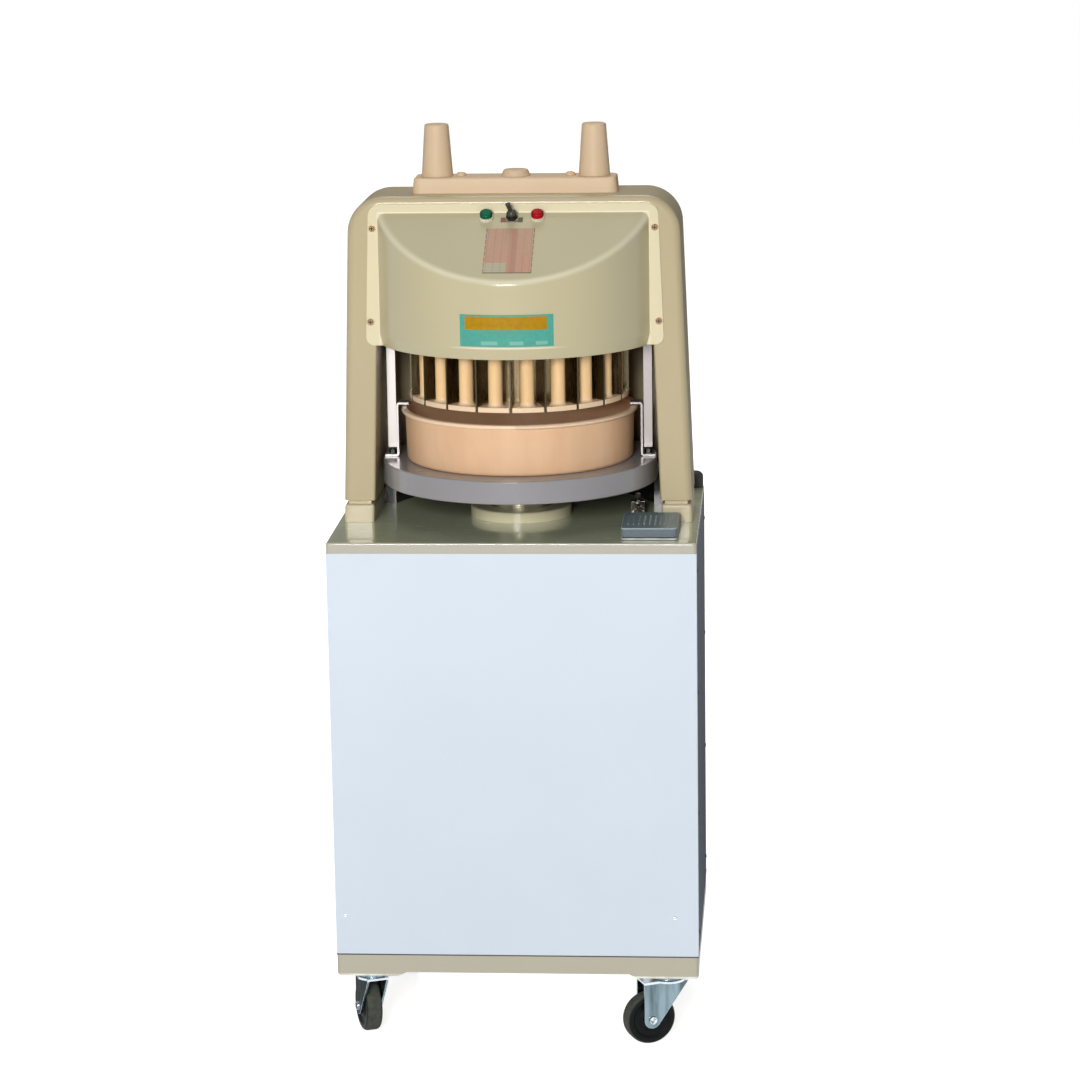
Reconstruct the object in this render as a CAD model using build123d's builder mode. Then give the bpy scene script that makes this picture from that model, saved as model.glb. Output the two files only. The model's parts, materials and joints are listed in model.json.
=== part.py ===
from build123d import *
import os
from math import cos, pi, radians, sin, sqrt

# Round dough divider on castors: a cabinet with a hydraulic ram, a lifting table with a
# dough pan, and a cutter head of fixed knives with sprung presser blocks between them.
# Millimetres. X to the right, Y to the back, Z up, origin on the floor under the ram's axis.

# Cabinet
cabinet_width = 520.0
cabinet_depth = 410.0
base_height = 26.5
base_wall = 3.0
base_flange = 26.0
base_corner = 6.0
panel_height = 590.0
panel_sheet = 1.5
panel_return = 14.0
post_leg = 30.0
post_wall = 3.0
plate_thickness = 15.0
plate_corner = 5.0
plate_edge_round = 2.5

# Castors
caster_height = 107.5
caster_pad = 88.0
caster_pad_thickness = 6.0
caster_pad_slope = 12.0
caster_pad_round = 5.0
caster_inset = 46.0
caster_plate_size = 72.0
caster_plate_thickness = 3.0
race_radius = 28.0
race_height = 9.0
kingpin_radius = 5.0
kingpin_head_radius = 8.0
kingpin_head = 3.0
race_taper = 5.5
fork_sheet = 3.0
fork_crown_radius = 26.0
fork_back = 26.0
fork_boss_radius = 12.5
wheel_radius = 37.5
wheel_width = 24.0
wheel_hub_radius = 15.0
wheel_rim_radius = 28.5
wheel_dish = 3.0
wheel_tread_round = 6.0
axle_radius = 4.0
axle_head_radius = 6.5
axle_head = 3.0
axle_head_taper = 15.0
trail = 30.0
caster_angles = {
    "front_left": 112.0,
    "front_right": 204.0,
    "rear_left": 300.0,
    "rear_right": 255.0,
}

# Arch frame
arch_height = 469.0
column_gap = 8.0
arch_lean = 0.037
column_width = 45.0
column_depth = 136.0
column_foot_height = 26.5
column_foot_inset = 1.0
column_foot_round = 4.0
column_neck = 6.0
column_neck_inset = 6.0
crown_thickness = 60.0
arch_corner = 52.0
arch_inner_corner = 18.0
arch_edge_round = 10.0
arch_opening_round = 4.0
control_pocket_width = 104.0
control_pocket_depth = 16.0
control_pocket_height = 34.0

# Head covers
cover_gap = 6.0
cover_sheet = 2.0
cover_bottom = 258.0
cover_top_drop = 10.0
cover_flange_overhang = 0.5
cover_flange_corner = 17.0
cover_flange_foot_round = 12.0
cover_flange_strip = 11.5
cover_slope = 30.4
cover_crease_round = 12.0
cover_band = 16.0
cover_band_turn = 4.0
cover_screw_radius = 4.2
cover_screw_head = 2.4
cover_screw_taper = 25.0
cover_washer_radius = 5.6
cover_washer = 1.0
cover_screw_inset = 6.0
cover_screw_drop = 34.0
cover_screw_rise = 34.0

# Lamps and toggle switch on the cover's slope
control_spacing = 36.0
control_drop = 14.5
lamp_bezel_radius = 10.8
lamp_bezel_height = 4.5
lamp_bezel_taper = 10.0
lamp_body_radius = 7.0
lamp_body_depth = 26.0
lens_radius = 9.0
lens_height = 7.0
lens_round = 3.5
switch_nut_radius = 8.5
switch_nut_height = 4.0
switch_bush_radius = 5.8
switch_bush_height = 7.0
switch_body_width = 28.0
switch_body_height = 13.0
switch_body_depth = 22.0
lever_radius = 2.6
lever_tip_radius = 3.6
lever_tip_round = 2.2
lever_length = 20.0
lever_tip_angle = 17.0
lever_ball_radius = 4.6
lever_pin_radius = 1.0
lever_pin_gap = 0.3
boot_radius = 7.6
boot_wall = 1.2

# Yoke and rod covers on the arch
yoke_width = 292.0
yoke_depth = 62.0
yoke_height = 22.0
yoke_taper = 6.0
yoke_corner = 11.0
yoke_edge_round = 3.0
rod_cover_base_radius = 22.5
rod_cover_top_radius = 17.0
rod_cover_height = 74.0
rod_cover_wall = 5.0
rod_passage_radius = 12.0
rod_cover_edge_round = 3.0
cap_base_radius = 21.0
cap_top_radius = 17.0
cap_height = 9.0
yoke_bolt_spread = 78.0
yoke_bolt_radius = 7.0
yoke_bolt_height = 5.0
yoke_bolt_dome = 3.5

# Cutter head
head_radius = 158.0
knife_thickness = 2.0
knife_height = 83.0
knife_clearance = 0.6
knife_floor_gap = 176.0
ring_counts = (4, 12, 20)
carrier_thickness = 12.0
carrier_margin = 10.0
carrier_grip = 11.35
carrier_arm_depth = 120.0
pillar_inset = 27.0
pillar_depth = 46.0
pillar_radius = 9.0
foot_thickness = 7.0
foot_round = 2.0
stem_radius = 10.2
inner_stem_radius = 8.0
stem_setback = 5.5
stem_flare = 5.0
inner_stem_flare = 4.0
inner_stem_place = 30.0
stem_clearance = 0.8
presser_gap = 16.0
presser_margin = 2.0
presser_thickness = 14.0
presser_chamfer = 1.5
rod_spread = 112.0
rod_radius = 10.0
rod_shoulder_radius = 15.0
rod_shoulder = 10.0
rod_tail = 5.0
rod_chamfer = 1.5
rod_stop_radius = 11.5
rod_stop = 8.0
bush_wall = 4.0
bush_flange_radius = 22.0
bush_flange = 4.0
spring_wire_radius = 2.0
spring_turns = 7
spring_clearance = 1.0

# Table, pan and hold-down hooks
table_gap = 53.0
table_thickness = 33.0
table_skin = 13.0
table_rim = 12.0
table_hub_radius = 66.0
table_rib = 8.0
table_rib_count = 6
table_edge_round = 2.0
pan_height = 74.0
pan_wall = 3.0
pan_floor = 6.0
pan_clearance = 2.2
pan_draft = 2.0
pan_lip = 5.0
pan_lip_height = 6.0
pan_lip_round = 2.4
pan_floor_round = 5.0
hook_sheet = 3.0
hook_depth = 22.0
hook_gap = 4.8
hook_foot = 21.0
hook_margin = 2.0
hook_reach = 15.0
hook_over_rim = 2.0
hook_bend = 1.5
bar_width = 12.5
bar_thickness = 5.0
bar_gap = 9.0
bar_standoff = 1.0
stud_radius = 3.0
stud_nut_radius = 5.5
stud_nut_height = 6.0
bar_guide_depth = 28.0
bar_guide_height = 16.0
bar_guide_wall = 3.0
bar_slide_clearance = 0.35

# Ram and cylinder
ram_radius = 46.0
collar_radius = 73.0
collar_height = 15.0
collar_edge_round = 3.0
spigot_radius = 55.0
spigot_length = 28.0
piston_radius = 50.0
piston_height = 30.0
piston_rest_radius = 30.0
piston_rest = 14.0
barrel_wall = 10.0
barrel_length = 200.0
barrel_cap = 22.0
barrel_flange_radius = 84.0
barrel_flange = 16.0
port_boss_radius = 10.0
port_boss = 9.0
port_bore_radius = 4.0

# Power unit inside the cabinet
tank_width = 300.0
tank_depth = 230.0
tank_height = 180.0
tank_wall = 2.5
tank_lid = 8.0
tank_lid_lip = 8.0
tank_corner = 12.0
motor_radius = 62.0
motor_length = 170.0
motor_fin = 5.0
motor_fin_count = 18
motor_place = -55.0
motor_foot = 10.0
motor_foot_length = 102.0
motor_foot_width = 94.0
motor_foot_rise = 25.0
motor_fin_width = 2.5
motor_shaft_radius = 9.0
motor_shaft_length = 22.0
pump_length = 58.0
pump_width = 80.0
pump_height = 96.0
pump_corner = 6.0
pipe_radius = 6.0
pipe_bend = 22.0
pipe_offset = 16.0
pipe_slant_start = 0.29
pipe_slant_end = 0.57
control_box_depth = 62.0
control_box_width = 170.0
control_box_height = 220.0
control_box_rise = 300.0
control_box_round = 4.0
control_box_wall = 2.0

# Rear panel: louvres and cable gland
louvre_length = 120.0
louvre_height = 7.0
louvre_pitch = 20.0
louvre_spacing = 168.0
louvre_rows = 9
louvre_columns = 2
louvre_rise = 380.0
gland_radius = 13.0
gland_bore_radius = 5.0
gland_length = 22.0
gland_nut_radius = 16.0
gland_nut = 6.0
gland_inside = 10.0
gland_inset = 80.0
gland_rise = 70.0

# Rubber buffers on the rear corners of the worktop
buffer_radius = 12.0
buffer_height = 24.0
buffer_round = 9.0
buffer_inset = 13.0

# Limit switch under the table
limit_inset = 28.0
limit_setback = -7.0
limit_width = 20.0
limit_depth = 12.0
limit_height = 20.0
limit_roller_radius = 4.0
limit_roller_width = 6.0
limit_stem_radius = 2.4
limit_stem = 8.0

# Foot switch stored on the worktop
foot_switch_width = 79.0
foot_switch_depth = 110.0
foot_switch_inset = 67.0
foot_switch_gap = 8.0
foot_base_height = 3.0
foot_base_corner = 5.0
treadle_height = 12.5
treadle_wall = 3.0
treadle_edge_round = 2.0
treadle_gap = 2.2
treadle_side_gap = 1.0
treadle_rear_gap = 1.0
treadle_pin_radius = 2.0
treadle_pin_inset = 9.0
treadle_pin_rise = 4.4
treadle_ear = 4.0
treadle_ear_radius = 3.8
treadle_rib = 1.0
treadle_rib_width = 2.4
treadle_rib_length = 60.0
treadle_rib_pitch = 7.5
treadle_rib_count = 9
foot_inlet_radius = 4.0
foot_inlet_bore_radius = 2.5
foot_inlet_length = 8.0

# Fits
running_clearance = 0.05
press_clearance = 0.02
swivel_gap = 0.4
wheel_side_gap = 1.0

# Sizes that follow from each other: the pan round the head, the hooks round the pan, the table
# under the hooks, the columns and covers round the table
pan_inner = head_radius + pan_clearance
pan_outer = pan_inner + pan_wall
pan_rim = pan_outer + pan_draft
hook_web = pan_rim + pan_lip + hook_gap
table_radius = hook_web + hook_foot + hook_margin
arch_foot_half = table_radius + column_gap + column_width
cover_radius = table_radius + cover_gap
cover_flange_half = cover_radius + cover_flange_overhang
bar_x = hook_web + hook_sheet + bar_standoff + bar_width / 2
guide_inner_x = bar_x - bar_width / 2 - bar_slide_clearance - bar_guide_wall
carrier_arm_half = guide_inner_x + carrier_grip
pillar_spread = carrier_arm_half - pillar_inset
bush_radius = rod_radius + running_clearance + bush_wall
half_width = cabinet_width / 2
half_depth = cabinet_depth / 2
column_face = column_depth / 2
gland_place = half_width - gland_inset
foot_switch_place = half_width - foot_switch_inset
limit_place = table_radius - limit_inset

# Levels worked out from the sizes above
pad_z = caster_height
base_z = pad_z + caster_pad_thickness
panel_z = base_z + base_height
plate_z = panel_z + panel_height
worktop_z = plate_z + plate_thickness
arch_top_z = worktop_z + arch_height
crown_z = arch_top_z - crown_thickness
cover_z = worktop_z + cover_bottom
cover_top_z = arch_top_z - cover_top_drop
table_z = worktop_z + table_gap
table_top_z = table_z + table_thickness
knife_z = worktop_z + knife_floor_gap
carrier_z = knife_z + knife_height
carrier_top_z = carrier_z + carrier_thickness
presser_z = carrier_top_z + presser_gap
presser_top_z = presser_z + presser_thickness
rod_reach = arch_top_z + rod_stop + rod_tail - presser_top_z
yoke_top_z = arch_top_z + yoke_height
axle_z = wheel_radius


def arch_outer(level):
    """Half width of the arch's outside at a height."""
    return arch_foot_half - arch_lean * (level - worktop_z)


def arch_inner(level):
    """Half width of the arch's opening at a height."""
    return arch_outer(level) - column_width


# Base frame: a welded tray with an inward top flange and a pad under each corner
caster_x = half_width - caster_inset
caster_y = half_depth - caster_inset
caster_places = {
    "front_left": (-caster_x, -caster_y),
    "front_right": (caster_x, -caster_y),
    "rear_left": (-caster_x, caster_y),
    "rear_right": (caster_x, caster_y),
}
with BuildPart() as corner_pads:
    with BuildSketch(Plane.XZ.offset(half_depth)) as pad_profile:
        with BuildLine():
            Polyline(
                (half_width, base_z),
                (half_width, pad_z),
                (half_width - caster_pad, pad_z),
                (half_width - caster_pad - caster_pad_slope, base_z),
                close=True,
            )
        make_face()
        fillet(pad_profile.vertices().sort_by(Axis.X)[-2:].sort_by(Axis.Y)[0], radius=caster_pad_round)
    extrude(amount=-caster_pad)
    mirror(about=Plane.YZ)
    mirror(about=Plane.XZ)
    with BuildSketch(Plane.XY.offset(pad_z)):
        RectangleRounded(cabinet_width, cabinet_depth, base_corner)
    extrude(amount=caster_pad_thickness, mode=Mode.INTERSECT)
with BuildPart() as base_frame:
    with BuildSketch(Plane.XY.offset(base_z)):
        RectangleRounded(cabinet_width, cabinet_depth, base_corner)
    extrude(amount=base_height)
    with BuildSketch(Plane.XY.offset(base_z + base_wall)):
        Rectangle(cabinet_width - 2 * base_wall, cabinet_depth - 2 * base_wall)
    extrude(amount=base_height - 2 * base_wall, mode=Mode.SUBTRACT)
    with BuildSketch(Plane.XY.offset(panel_z - base_wall)):
        Rectangle(cabinet_width - 2 * base_flange, cabinet_depth - 2 * base_flange)
    extrude(amount=base_wall, mode=Mode.SUBTRACT)
    add(corner_pads.part)

# Four angle posts between the base and the top plate
with BuildPart() as cabinet_posts:
    with BuildSketch(Plane.XY.offset(panel_z)):
        with Locations((half_width - panel_sheet, half_depth - panel_sheet)):
            Rectangle(post_leg, post_leg, align=(Align.MAX, Align.MAX))
        with Locations((half_width - panel_sheet - post_wall, half_depth - panel_sheet - post_wall)):
            Rectangle(post_leg, post_leg, align=(Align.MAX, Align.MAX), mode=Mode.SUBTRACT)
        mirror(about=Plane.YZ)
        mirror(about=Plane.XZ)
    extrude(amount=panel_height)

# Front panel: a sheet with a folded return at each side
with BuildPart() as front_panel:
    with BuildSketch(Plane.XY.offset(panel_z)):
        with Locations((0, -half_depth)):
            Rectangle(cabinet_width, panel_return, align=(Align.CENTER, Align.MIN))
        with Locations((0, -half_depth + panel_sheet)):
            Rectangle(
                cabinet_width - 2 * panel_sheet,
                panel_return,
                align=(Align.CENTER, Align.MIN),
                mode=Mode.SUBTRACT,
            )
    extrude(amount=panel_height)

# Rear panel: the same folded sheet with louvre slots and a hole for the cable gland
with BuildPart() as rear_panel:
    add(front_panel.part.mirror(Plane.XZ))
    with BuildSketch(Plane.XZ.offset(-half_depth)):
        with Locations((0, panel_z + louvre_rise)):
            with GridLocations(louvre_spacing, louvre_pitch, louvre_columns, louvre_rows):
                SlotOverall(louvre_length, louvre_height)
        with Locations((gland_place, panel_z + gland_rise)):
            Circle(gland_radius + press_clearance)
    extrude(amount=panel_sheet, mode=Mode.SUBTRACT)

# Side panels between the folded returns
with BuildPart() as right_side_panel:
    with BuildSketch(Plane.XY.offset(panel_z)):
        with Locations((half_width, 0)):
            Rectangle(panel_sheet, cabinet_depth - 2 * panel_return, align=(Align.MAX, Align.CENTER))
    extrude(amount=panel_height)

with BuildPart() as left_side_panel:
    add(right_side_panel.part.mirror(Plane.YZ))

# Cable gland through the rear panel
with BuildPart() as cable_gland:
    with BuildSketch(Plane.XZ.offset(gland_inside - half_depth)):
        with Locations((gland_place, panel_z + gland_rise)):
            Circle(gland_radius)
    extrude(amount=-gland_length)
    with BuildSketch(Plane.XZ.offset(-half_depth)):
        with Locations((gland_place, panel_z + gland_rise)):
            RegularPolygon(gland_nut_radius, 6)
    extrude(amount=-gland_nut)
    with BuildSketch(Plane.XZ.offset(gland_inside - half_depth)):
        with Locations((gland_place, panel_z + gland_rise)):
            Circle(gland_bore_radius)
    extrude(amount=-gland_length, mode=Mode.SUBTRACT)

# Top plate, holed for the ram's collar
with BuildPart() as top_plate:
    with BuildSketch(Plane.XY.offset(plate_z)):
        RectangleRounded(cabinet_width, cabinet_depth, plate_corner)
        Circle(spigot_radius + press_clearance, mode=Mode.SUBTRACT)
    extrude(amount=plate_thickness)
    fillet(top_plate.faces().sort_by(Axis.Z)[-1].outer_wire().edges(), radius=plate_edge_round)

# Arch frame: two leaning columns and a crown in one casting, with a pocket behind the controls
shoe_z = worktop_z + column_foot_height
column_z = shoe_z + column_neck
round_from_z = column_z + arch_edge_round
with BuildPart() as arch_frame:
    with BuildSketch(Plane.XZ) as arch_outline:
        with BuildLine():
            Polyline(
                (-arch_outer(column_z), column_z),
                (-arch_outer(arch_top_z), arch_top_z),
                (arch_outer(arch_top_z), arch_top_z),
                (arch_outer(column_z), column_z),
                close=True,
            )
        make_face()
        fillet(arch_outline.vertices().group_by(Axis.Y)[-1], radius=arch_corner)
    extrude(amount=column_face, both=True)
    outline_edges = arch_frame.faces().filter_by(Axis.Y).edges()
    fillet([edge for edge in outline_edges if edge.center().Z > round_from_z], radius=arch_edge_round)
    with BuildSketch(Plane.XZ) as arch_opening:
        with BuildLine():
            Polyline(
                (-arch_inner(column_z), column_z),
                (-arch_inner(crown_z), crown_z),
                (arch_inner(crown_z), crown_z),
                (arch_inner(column_z), column_z),
                close=True,
            )
        make_face()
        fillet(arch_opening.vertices().group_by(Axis.Y)[-1], radius=arch_inner_corner)
    extrude(amount=column_face, both=True, mode=Mode.SUBTRACT)
    front_and_back = arch_frame.edges().group_by(Axis.Y)
    opening_edges = [
        edge
        for edge in front_and_back[0] + front_and_back[-1]
        if abs(edge.center().X) < arch_inner(column_z) and round_from_z < edge.center().Z <= crown_z
    ]
    fillet(opening_edges, radius=arch_opening_round)
    with BuildSketch(Plane.XZ.offset(column_face)):
        with Locations((0, crown_z)):
            Rectangle(control_pocket_width, control_pocket_height, align=(Align.CENTER, Align.MIN))
    extrude(amount=-control_pocket_depth, mode=Mode.SUBTRACT)
    with BuildSketch(Plane.XY.offset(crown_z)):
        with Locations((-rod_spread, 0), (rod_spread, 0)):
            Circle(bush_radius + press_clearance)
    extrude(amount=crown_thickness, mode=Mode.SUBTRACT)

# A shoe under each column, bolted to the top plate
with BuildPart() as column_feet:
    with BuildSketch(Plane.XZ):
        with BuildLine():
            Polyline(
                (arch_inner(worktop_z) + column_foot_inset, worktop_z),
                (arch_inner(shoe_z) + column_foot_inset, shoe_z),
                (arch_outer(shoe_z) - column_foot_inset, shoe_z),
                (arch_outer(worktop_z) - column_foot_inset, worktop_z),
                close=True,
            )
        make_face()
    extrude(amount=column_face - column_foot_inset, both=True)
    shoe_edges = [edge for edge in column_feet.edges() if edge.center().Z > worktop_z + column_foot_round]
    fillet(shoe_edges, radius=column_foot_round)
    with BuildSketch(Plane.XY.offset(shoe_z)):
        with Locations(((arch_inner(column_z) + arch_outer(column_z)) / 2, 0)):
            Rectangle(column_width - 2 * column_neck_inset, column_depth - 2 * column_neck_inset)
    extrude(amount=column_neck)
    mirror(about=Plane.YZ)

# Slope of the covers: a plane that falls from the flange's top strip towards the front
slope_angle = radians(cover_slope)
slope_origin = Vector(0, -column_face, cover_top_z - cover_flange_strip)
slope_normal = Vector(0, -sin(slope_angle), cos(slope_angle))
slope_plane = Plane(origin=slope_origin, x_dir=(1, 0, 0), z_dir=slope_normal)


def cover_bulge(radius, bottom, turn, band, drop, crease):
    """Front of a drum with a turned-in lower band and a sloping top, its crease rounded."""
    with BuildPart() as bulge:
        with BuildSketch(Plane.XZ):
            with BuildLine():
                Polyline(
                    (0, bottom),
                    (radius - turn, bottom),
                    (radius, bottom + band),
                    (radius, cover_top_z),
                    (0, cover_top_z),
                    close=True,
                )
            make_face()
        revolve(axis=Axis.Z)
        split(bisect_by=Plane.XZ.offset(column_face), keep=Keep.TOP)
        split(bisect_by=slope_plane.offset(-drop), keep=Keep.BOTTOM)
        slope_face = bulge.faces().filter_by(Axis(slope_origin, slope_normal)).sort_by(Axis.Z)[-1]
        fillet(slope_face.edges().filter_by(GeomType.ELLIPSE), radius=crease)
    return bulge.part


def flange_half(level):
    """Half width of a cover's flange at a height, leaning with the arch."""
    return cover_flange_half + arch_lean * (cover_top_z - level)


def cover_shell(bottom, turn, band, foot_round):
    """A bulged sheet cover with a flange against the front of the arch."""
    outside = cover_bulge(cover_radius, bottom, turn, band, 0, cover_crease_round)
    inside = cover_bulge(
        cover_radius - cover_sheet, bottom, turn, band, cover_sheet, cover_crease_round - cover_sheet
    )
    with BuildPart() as shell:
        with BuildSketch(Plane.XZ.offset(column_face)) as flange:
            with BuildLine():
                Polyline(
                    (-flange_half(bottom), bottom),
                    (-flange_half(cover_top_z), cover_top_z),
                    (flange_half(cover_top_z), cover_top_z),
                    (flange_half(bottom), bottom),
                    close=True,
                )
            make_face()
            fillet(flange.vertices().group_by(Axis.Y)[-1], radius=cover_flange_corner)
            if foot_round:
                fillet(flange.vertices().group_by(Axis.Y)[0], radius=foot_round)
        extrude(amount=cover_sheet)
        add(outside)
        add(inside, mode=Mode.SUBTRACT)
    return shell.part


# Places of the lamps and the switch on the slope, from the flange downwards
control_places = [(-control_spacing, -control_drop), (0, -control_drop), (control_spacing, -control_drop)]
lamp_places = [control_places[0], control_places[2]]
front_shell = cover_shell(cover_z, cover_band_turn, cover_band, cover_flange_foot_round)
with BuildPart() as front_cover:
    add(front_shell)
    with BuildSketch(slope_plane):
        with Locations(*lamp_places):
            Circle(lamp_body_radius + press_clearance)
        with Locations(control_places[1]):
            Circle(switch_bush_radius + press_clearance)
    extrude(amount=-2 * cover_sheet, mode=Mode.SUBTRACT)

# The rear cover closes the back of the head and of the table space
rear_shell = cover_shell(worktop_z, 0, cover_band, 0)
with BuildPart() as rear_cover:
    add(rear_shell.mirror(Plane.XZ))

# Screws with washers on the flanges of both covers
screw_levels = [cover_top_z - cover_screw_drop, cover_z + cover_screw_rise]
with BuildPart() as cover_screws:
    for level in screw_levels:
        screw_x = flange_half(level) - cover_screw_inset
        with BuildSketch(Plane.XZ.offset(column_face + cover_sheet)):
            with Locations((-screw_x, level), (screw_x, level)):
                Circle(cover_washer_radius)
        extrude(amount=cover_washer)
        with BuildSketch(Plane.XZ.offset(column_face + cover_sheet + cover_washer)):
            with Locations((-screw_x, level), (screw_x, level)):
                Circle(cover_screw_radius)
        extrude(amount=cover_screw_head, taper=cover_screw_taper)
    mirror(about=Plane.XZ)

# Lamp bezels with the lamp bodies behind the sheet
with BuildPart() as lamp_bezels:
    with BuildSketch(slope_plane):
        with Locations(*lamp_places):
            Circle(lamp_bezel_radius)
    extrude(amount=lamp_bezel_height, taper=lamp_bezel_taper)
    with BuildSketch(slope_plane):
        with Locations(*lamp_places):
            Circle(lamp_body_radius)
    extrude(amount=-lamp_body_depth)


def lamp_lens(place):
    """A low domed lens on a bezel."""
    with BuildPart() as lens:
        with BuildSketch(slope_plane.offset(lamp_bezel_height)):
            with Locations(place):
                Circle(lens_radius)
        extrude(amount=lens_height)
        fillet(lens.edges().filter_by(GeomType.CIRCLE).sort_by(Axis.Z)[-1], radius=lens_round)
    return lens


green_lens = lamp_lens(lamp_places[0])
red_lens = lamp_lens(lamp_places[1])

# Toggle switch: a body behind the sheet, a threaded bush with the pivot's seat, and its nut
lever_centre = slope_plane.from_local_coords((0, -control_drop, switch_bush_height))
pivot_plane = Plane(origin=lever_centre, x_dir=(1, 0, 0), z_dir=slope_plane.y_dir)
with BuildPart() as switch_body:
    with BuildSketch(slope_plane.offset(-cover_sheet)):
        with Locations(control_places[1]):
            Rectangle(switch_body_width, switch_body_height)
    extrude(amount=-switch_body_depth)
    with BuildSketch(slope_plane.offset(-cover_sheet)):
        with Locations(control_places[1]):
            Circle(switch_bush_radius)
    extrude(amount=cover_sheet + switch_bush_height)
    with BuildSketch(slope_plane):
        with Locations(control_places[1]):
            RegularPolygon(switch_nut_radius, 6)
    extrude(amount=switch_nut_height)
    with Locations(slope_plane.offset(switch_bush_height).location):
        with Locations((0, -control_drop, 0)):
            Sphere(lever_ball_radius + running_clearance, mode=Mode.SUBTRACT)
    with BuildSketch(pivot_plane):
        Circle(lever_pin_radius + running_clearance)
    extrude(amount=switch_bush_radius, both=True, mode=Mode.SUBTRACT)

# Toggle lever: a ball on a pivot pin, a rubber boot over it and a lever tipped to the left
lever_plane = Plane(origin=lever_centre, x_dir=(1, 0, 0), z_dir=slope_normal)
lever_plane = lever_plane.rotated((0, -lever_tip_angle, 0))
with BuildPart() as toggle_lever:
    with Locations(lever_plane.location):
        Sphere(boot_radius)
        Sphere(boot_radius - boot_wall, mode=Mode.SUBTRACT)
    split(bisect_by=lever_plane, keep=Keep.TOP)
    with Locations(lever_plane.location):
        Sphere(lever_ball_radius)
    with BuildSketch(pivot_plane):
        Circle(lever_pin_radius)
    extrude(amount=switch_bush_radius - lever_pin_gap, both=True)
    with BuildSketch(lever_plane):
        Circle(lever_radius)
    with BuildSketch(lever_plane.offset(lever_length)):
        Circle(lever_tip_radius)
    loft()
    fillet(toggle_lever.faces().sort_by(Axis.Z)[-1].edges(), radius=lever_tip_round)

# Yoke on the crown, with passages for the guide rods
with BuildPart() as yoke:
    with BuildSketch(Plane.XY.offset(arch_top_z)):
        RectangleRounded(yoke_width, yoke_depth, yoke_corner)
    extrude(amount=yoke_height, taper=yoke_taper)
    fillet(yoke.faces().sort_by(Axis.Z)[-1].outer_wire().edges(), radius=yoke_edge_round)
    with BuildSketch(Plane.XY.offset(arch_top_z)):
        with Locations((-rod_spread, 0), (rod_spread, 0)):
            Circle(rod_passage_radius)
    extrude(amount=yoke_height, mode=Mode.SUBTRACT)

# Hollow tapered covers over the guide rods
with BuildPart() as rod_covers:
    with Locations((-rod_spread, 0, yoke_top_z), (rod_spread, 0, yoke_top_z)):
        Cone(
            rod_cover_base_radius,
            rod_cover_top_radius,
            rod_cover_height,
            align=(Align.CENTER, Align.CENTER, Align.MIN),
        )
    top_edges = rod_covers.edges().filter_by(GeomType.CIRCLE).group_by(Axis.Z)[-1]
    fillet(top_edges, radius=rod_cover_edge_round)
    with BuildSketch(Plane.XY.offset(yoke_top_z)):
        with Locations((-rod_spread, 0), (rod_spread, 0)):
            Circle(rod_passage_radius)
    extrude(amount=rod_cover_height - rod_cover_wall, mode=Mode.SUBTRACT)

# Cap in the middle of the yoke
with BuildPart() as centre_cap:
    with Locations((0, 0, yoke_top_z)):
        Cone(cap_base_radius, cap_top_radius, cap_height, align=(Align.CENTER, Align.CENTER, Align.MIN))
    fillet(centre_cap.edges().filter_by(GeomType.CIRCLE).group_by(Axis.Z)[-1], radius=rod_cover_edge_round)

# Dome-headed bolts that hold the yoke
with BuildPart() as yoke_bolts:
    with Locations((-yoke_bolt_spread, 0, yoke_top_z), (yoke_bolt_spread, 0, yoke_top_z)):
        Cylinder(yoke_bolt_radius, yoke_bolt_height, align=(Align.CENTER, Align.CENTER, Align.MIN))
    fillet(yoke_bolts.edges().filter_by(GeomType.CIRCLE).group_by(Axis.Z)[-1], radius=yoke_bolt_dome)

# Flanged bushes for the guide rods, pressed into the crown from below
with BuildPart() as guide_bushes:
    with BuildSketch(Plane.XY.offset(crown_z)):
        with Locations((-rod_spread, 0), (rod_spread, 0)):
            Circle(bush_radius)
    extrude(amount=crown_thickness)
    with BuildSketch(Plane.XY.offset(crown_z - bush_flange)):
        with Locations((-rod_spread, 0), (rod_spread, 0)):
            Circle(bush_flange_radius)
    extrude(amount=bush_flange)
    with BuildSketch(Plane.XY.offset(crown_z - bush_flange)):
        with Locations((-rod_spread, 0), (rod_spread, 0)):
            Circle(rod_radius + running_clearance)
    extrude(amount=crown_thickness + bush_flange, mode=Mode.SUBTRACT)

# Ring radii of the cutter: the same step from the centre to the rim
ring_step = head_radius / len(ring_counts)
ring_radii = [ring_step * (index + 1) for index in range(len(ring_counts))]
ring_start = -90.0
outer_ring = len(ring_counts) - 1


def stem_place(ring):
    """Radius of the presser stems of one ring of pieces."""
    if ring == outer_ring:
        return head_radius - stem_setback - stem_radius
    if ring == 0:
        return inner_stem_place
    return ring_radii[ring] - ring_step / 2


def stem_size(ring):
    """Stem radius of one ring of pieces."""
    return stem_radius if ring == outer_ring else inner_stem_radius


# Knife set: radial knives and two ring knives welded into one grid
with BuildPart() as knife_set:
    with BuildSketch(Plane.XY.offset(knife_z)):
        for radius in reversed(ring_radii[:outer_ring]):
            Circle(radius + knife_thickness / 2)
            Circle(radius - knife_thickness / 2, mode=Mode.SUBTRACT)
        for ring, count in enumerate(ring_counts):
            with PolarLocations(ring_radii[ring] - ring_step / 2, count, ring_start):
                Rectangle(ring_step, knife_thickness)
    extrude(amount=knife_height)

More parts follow.
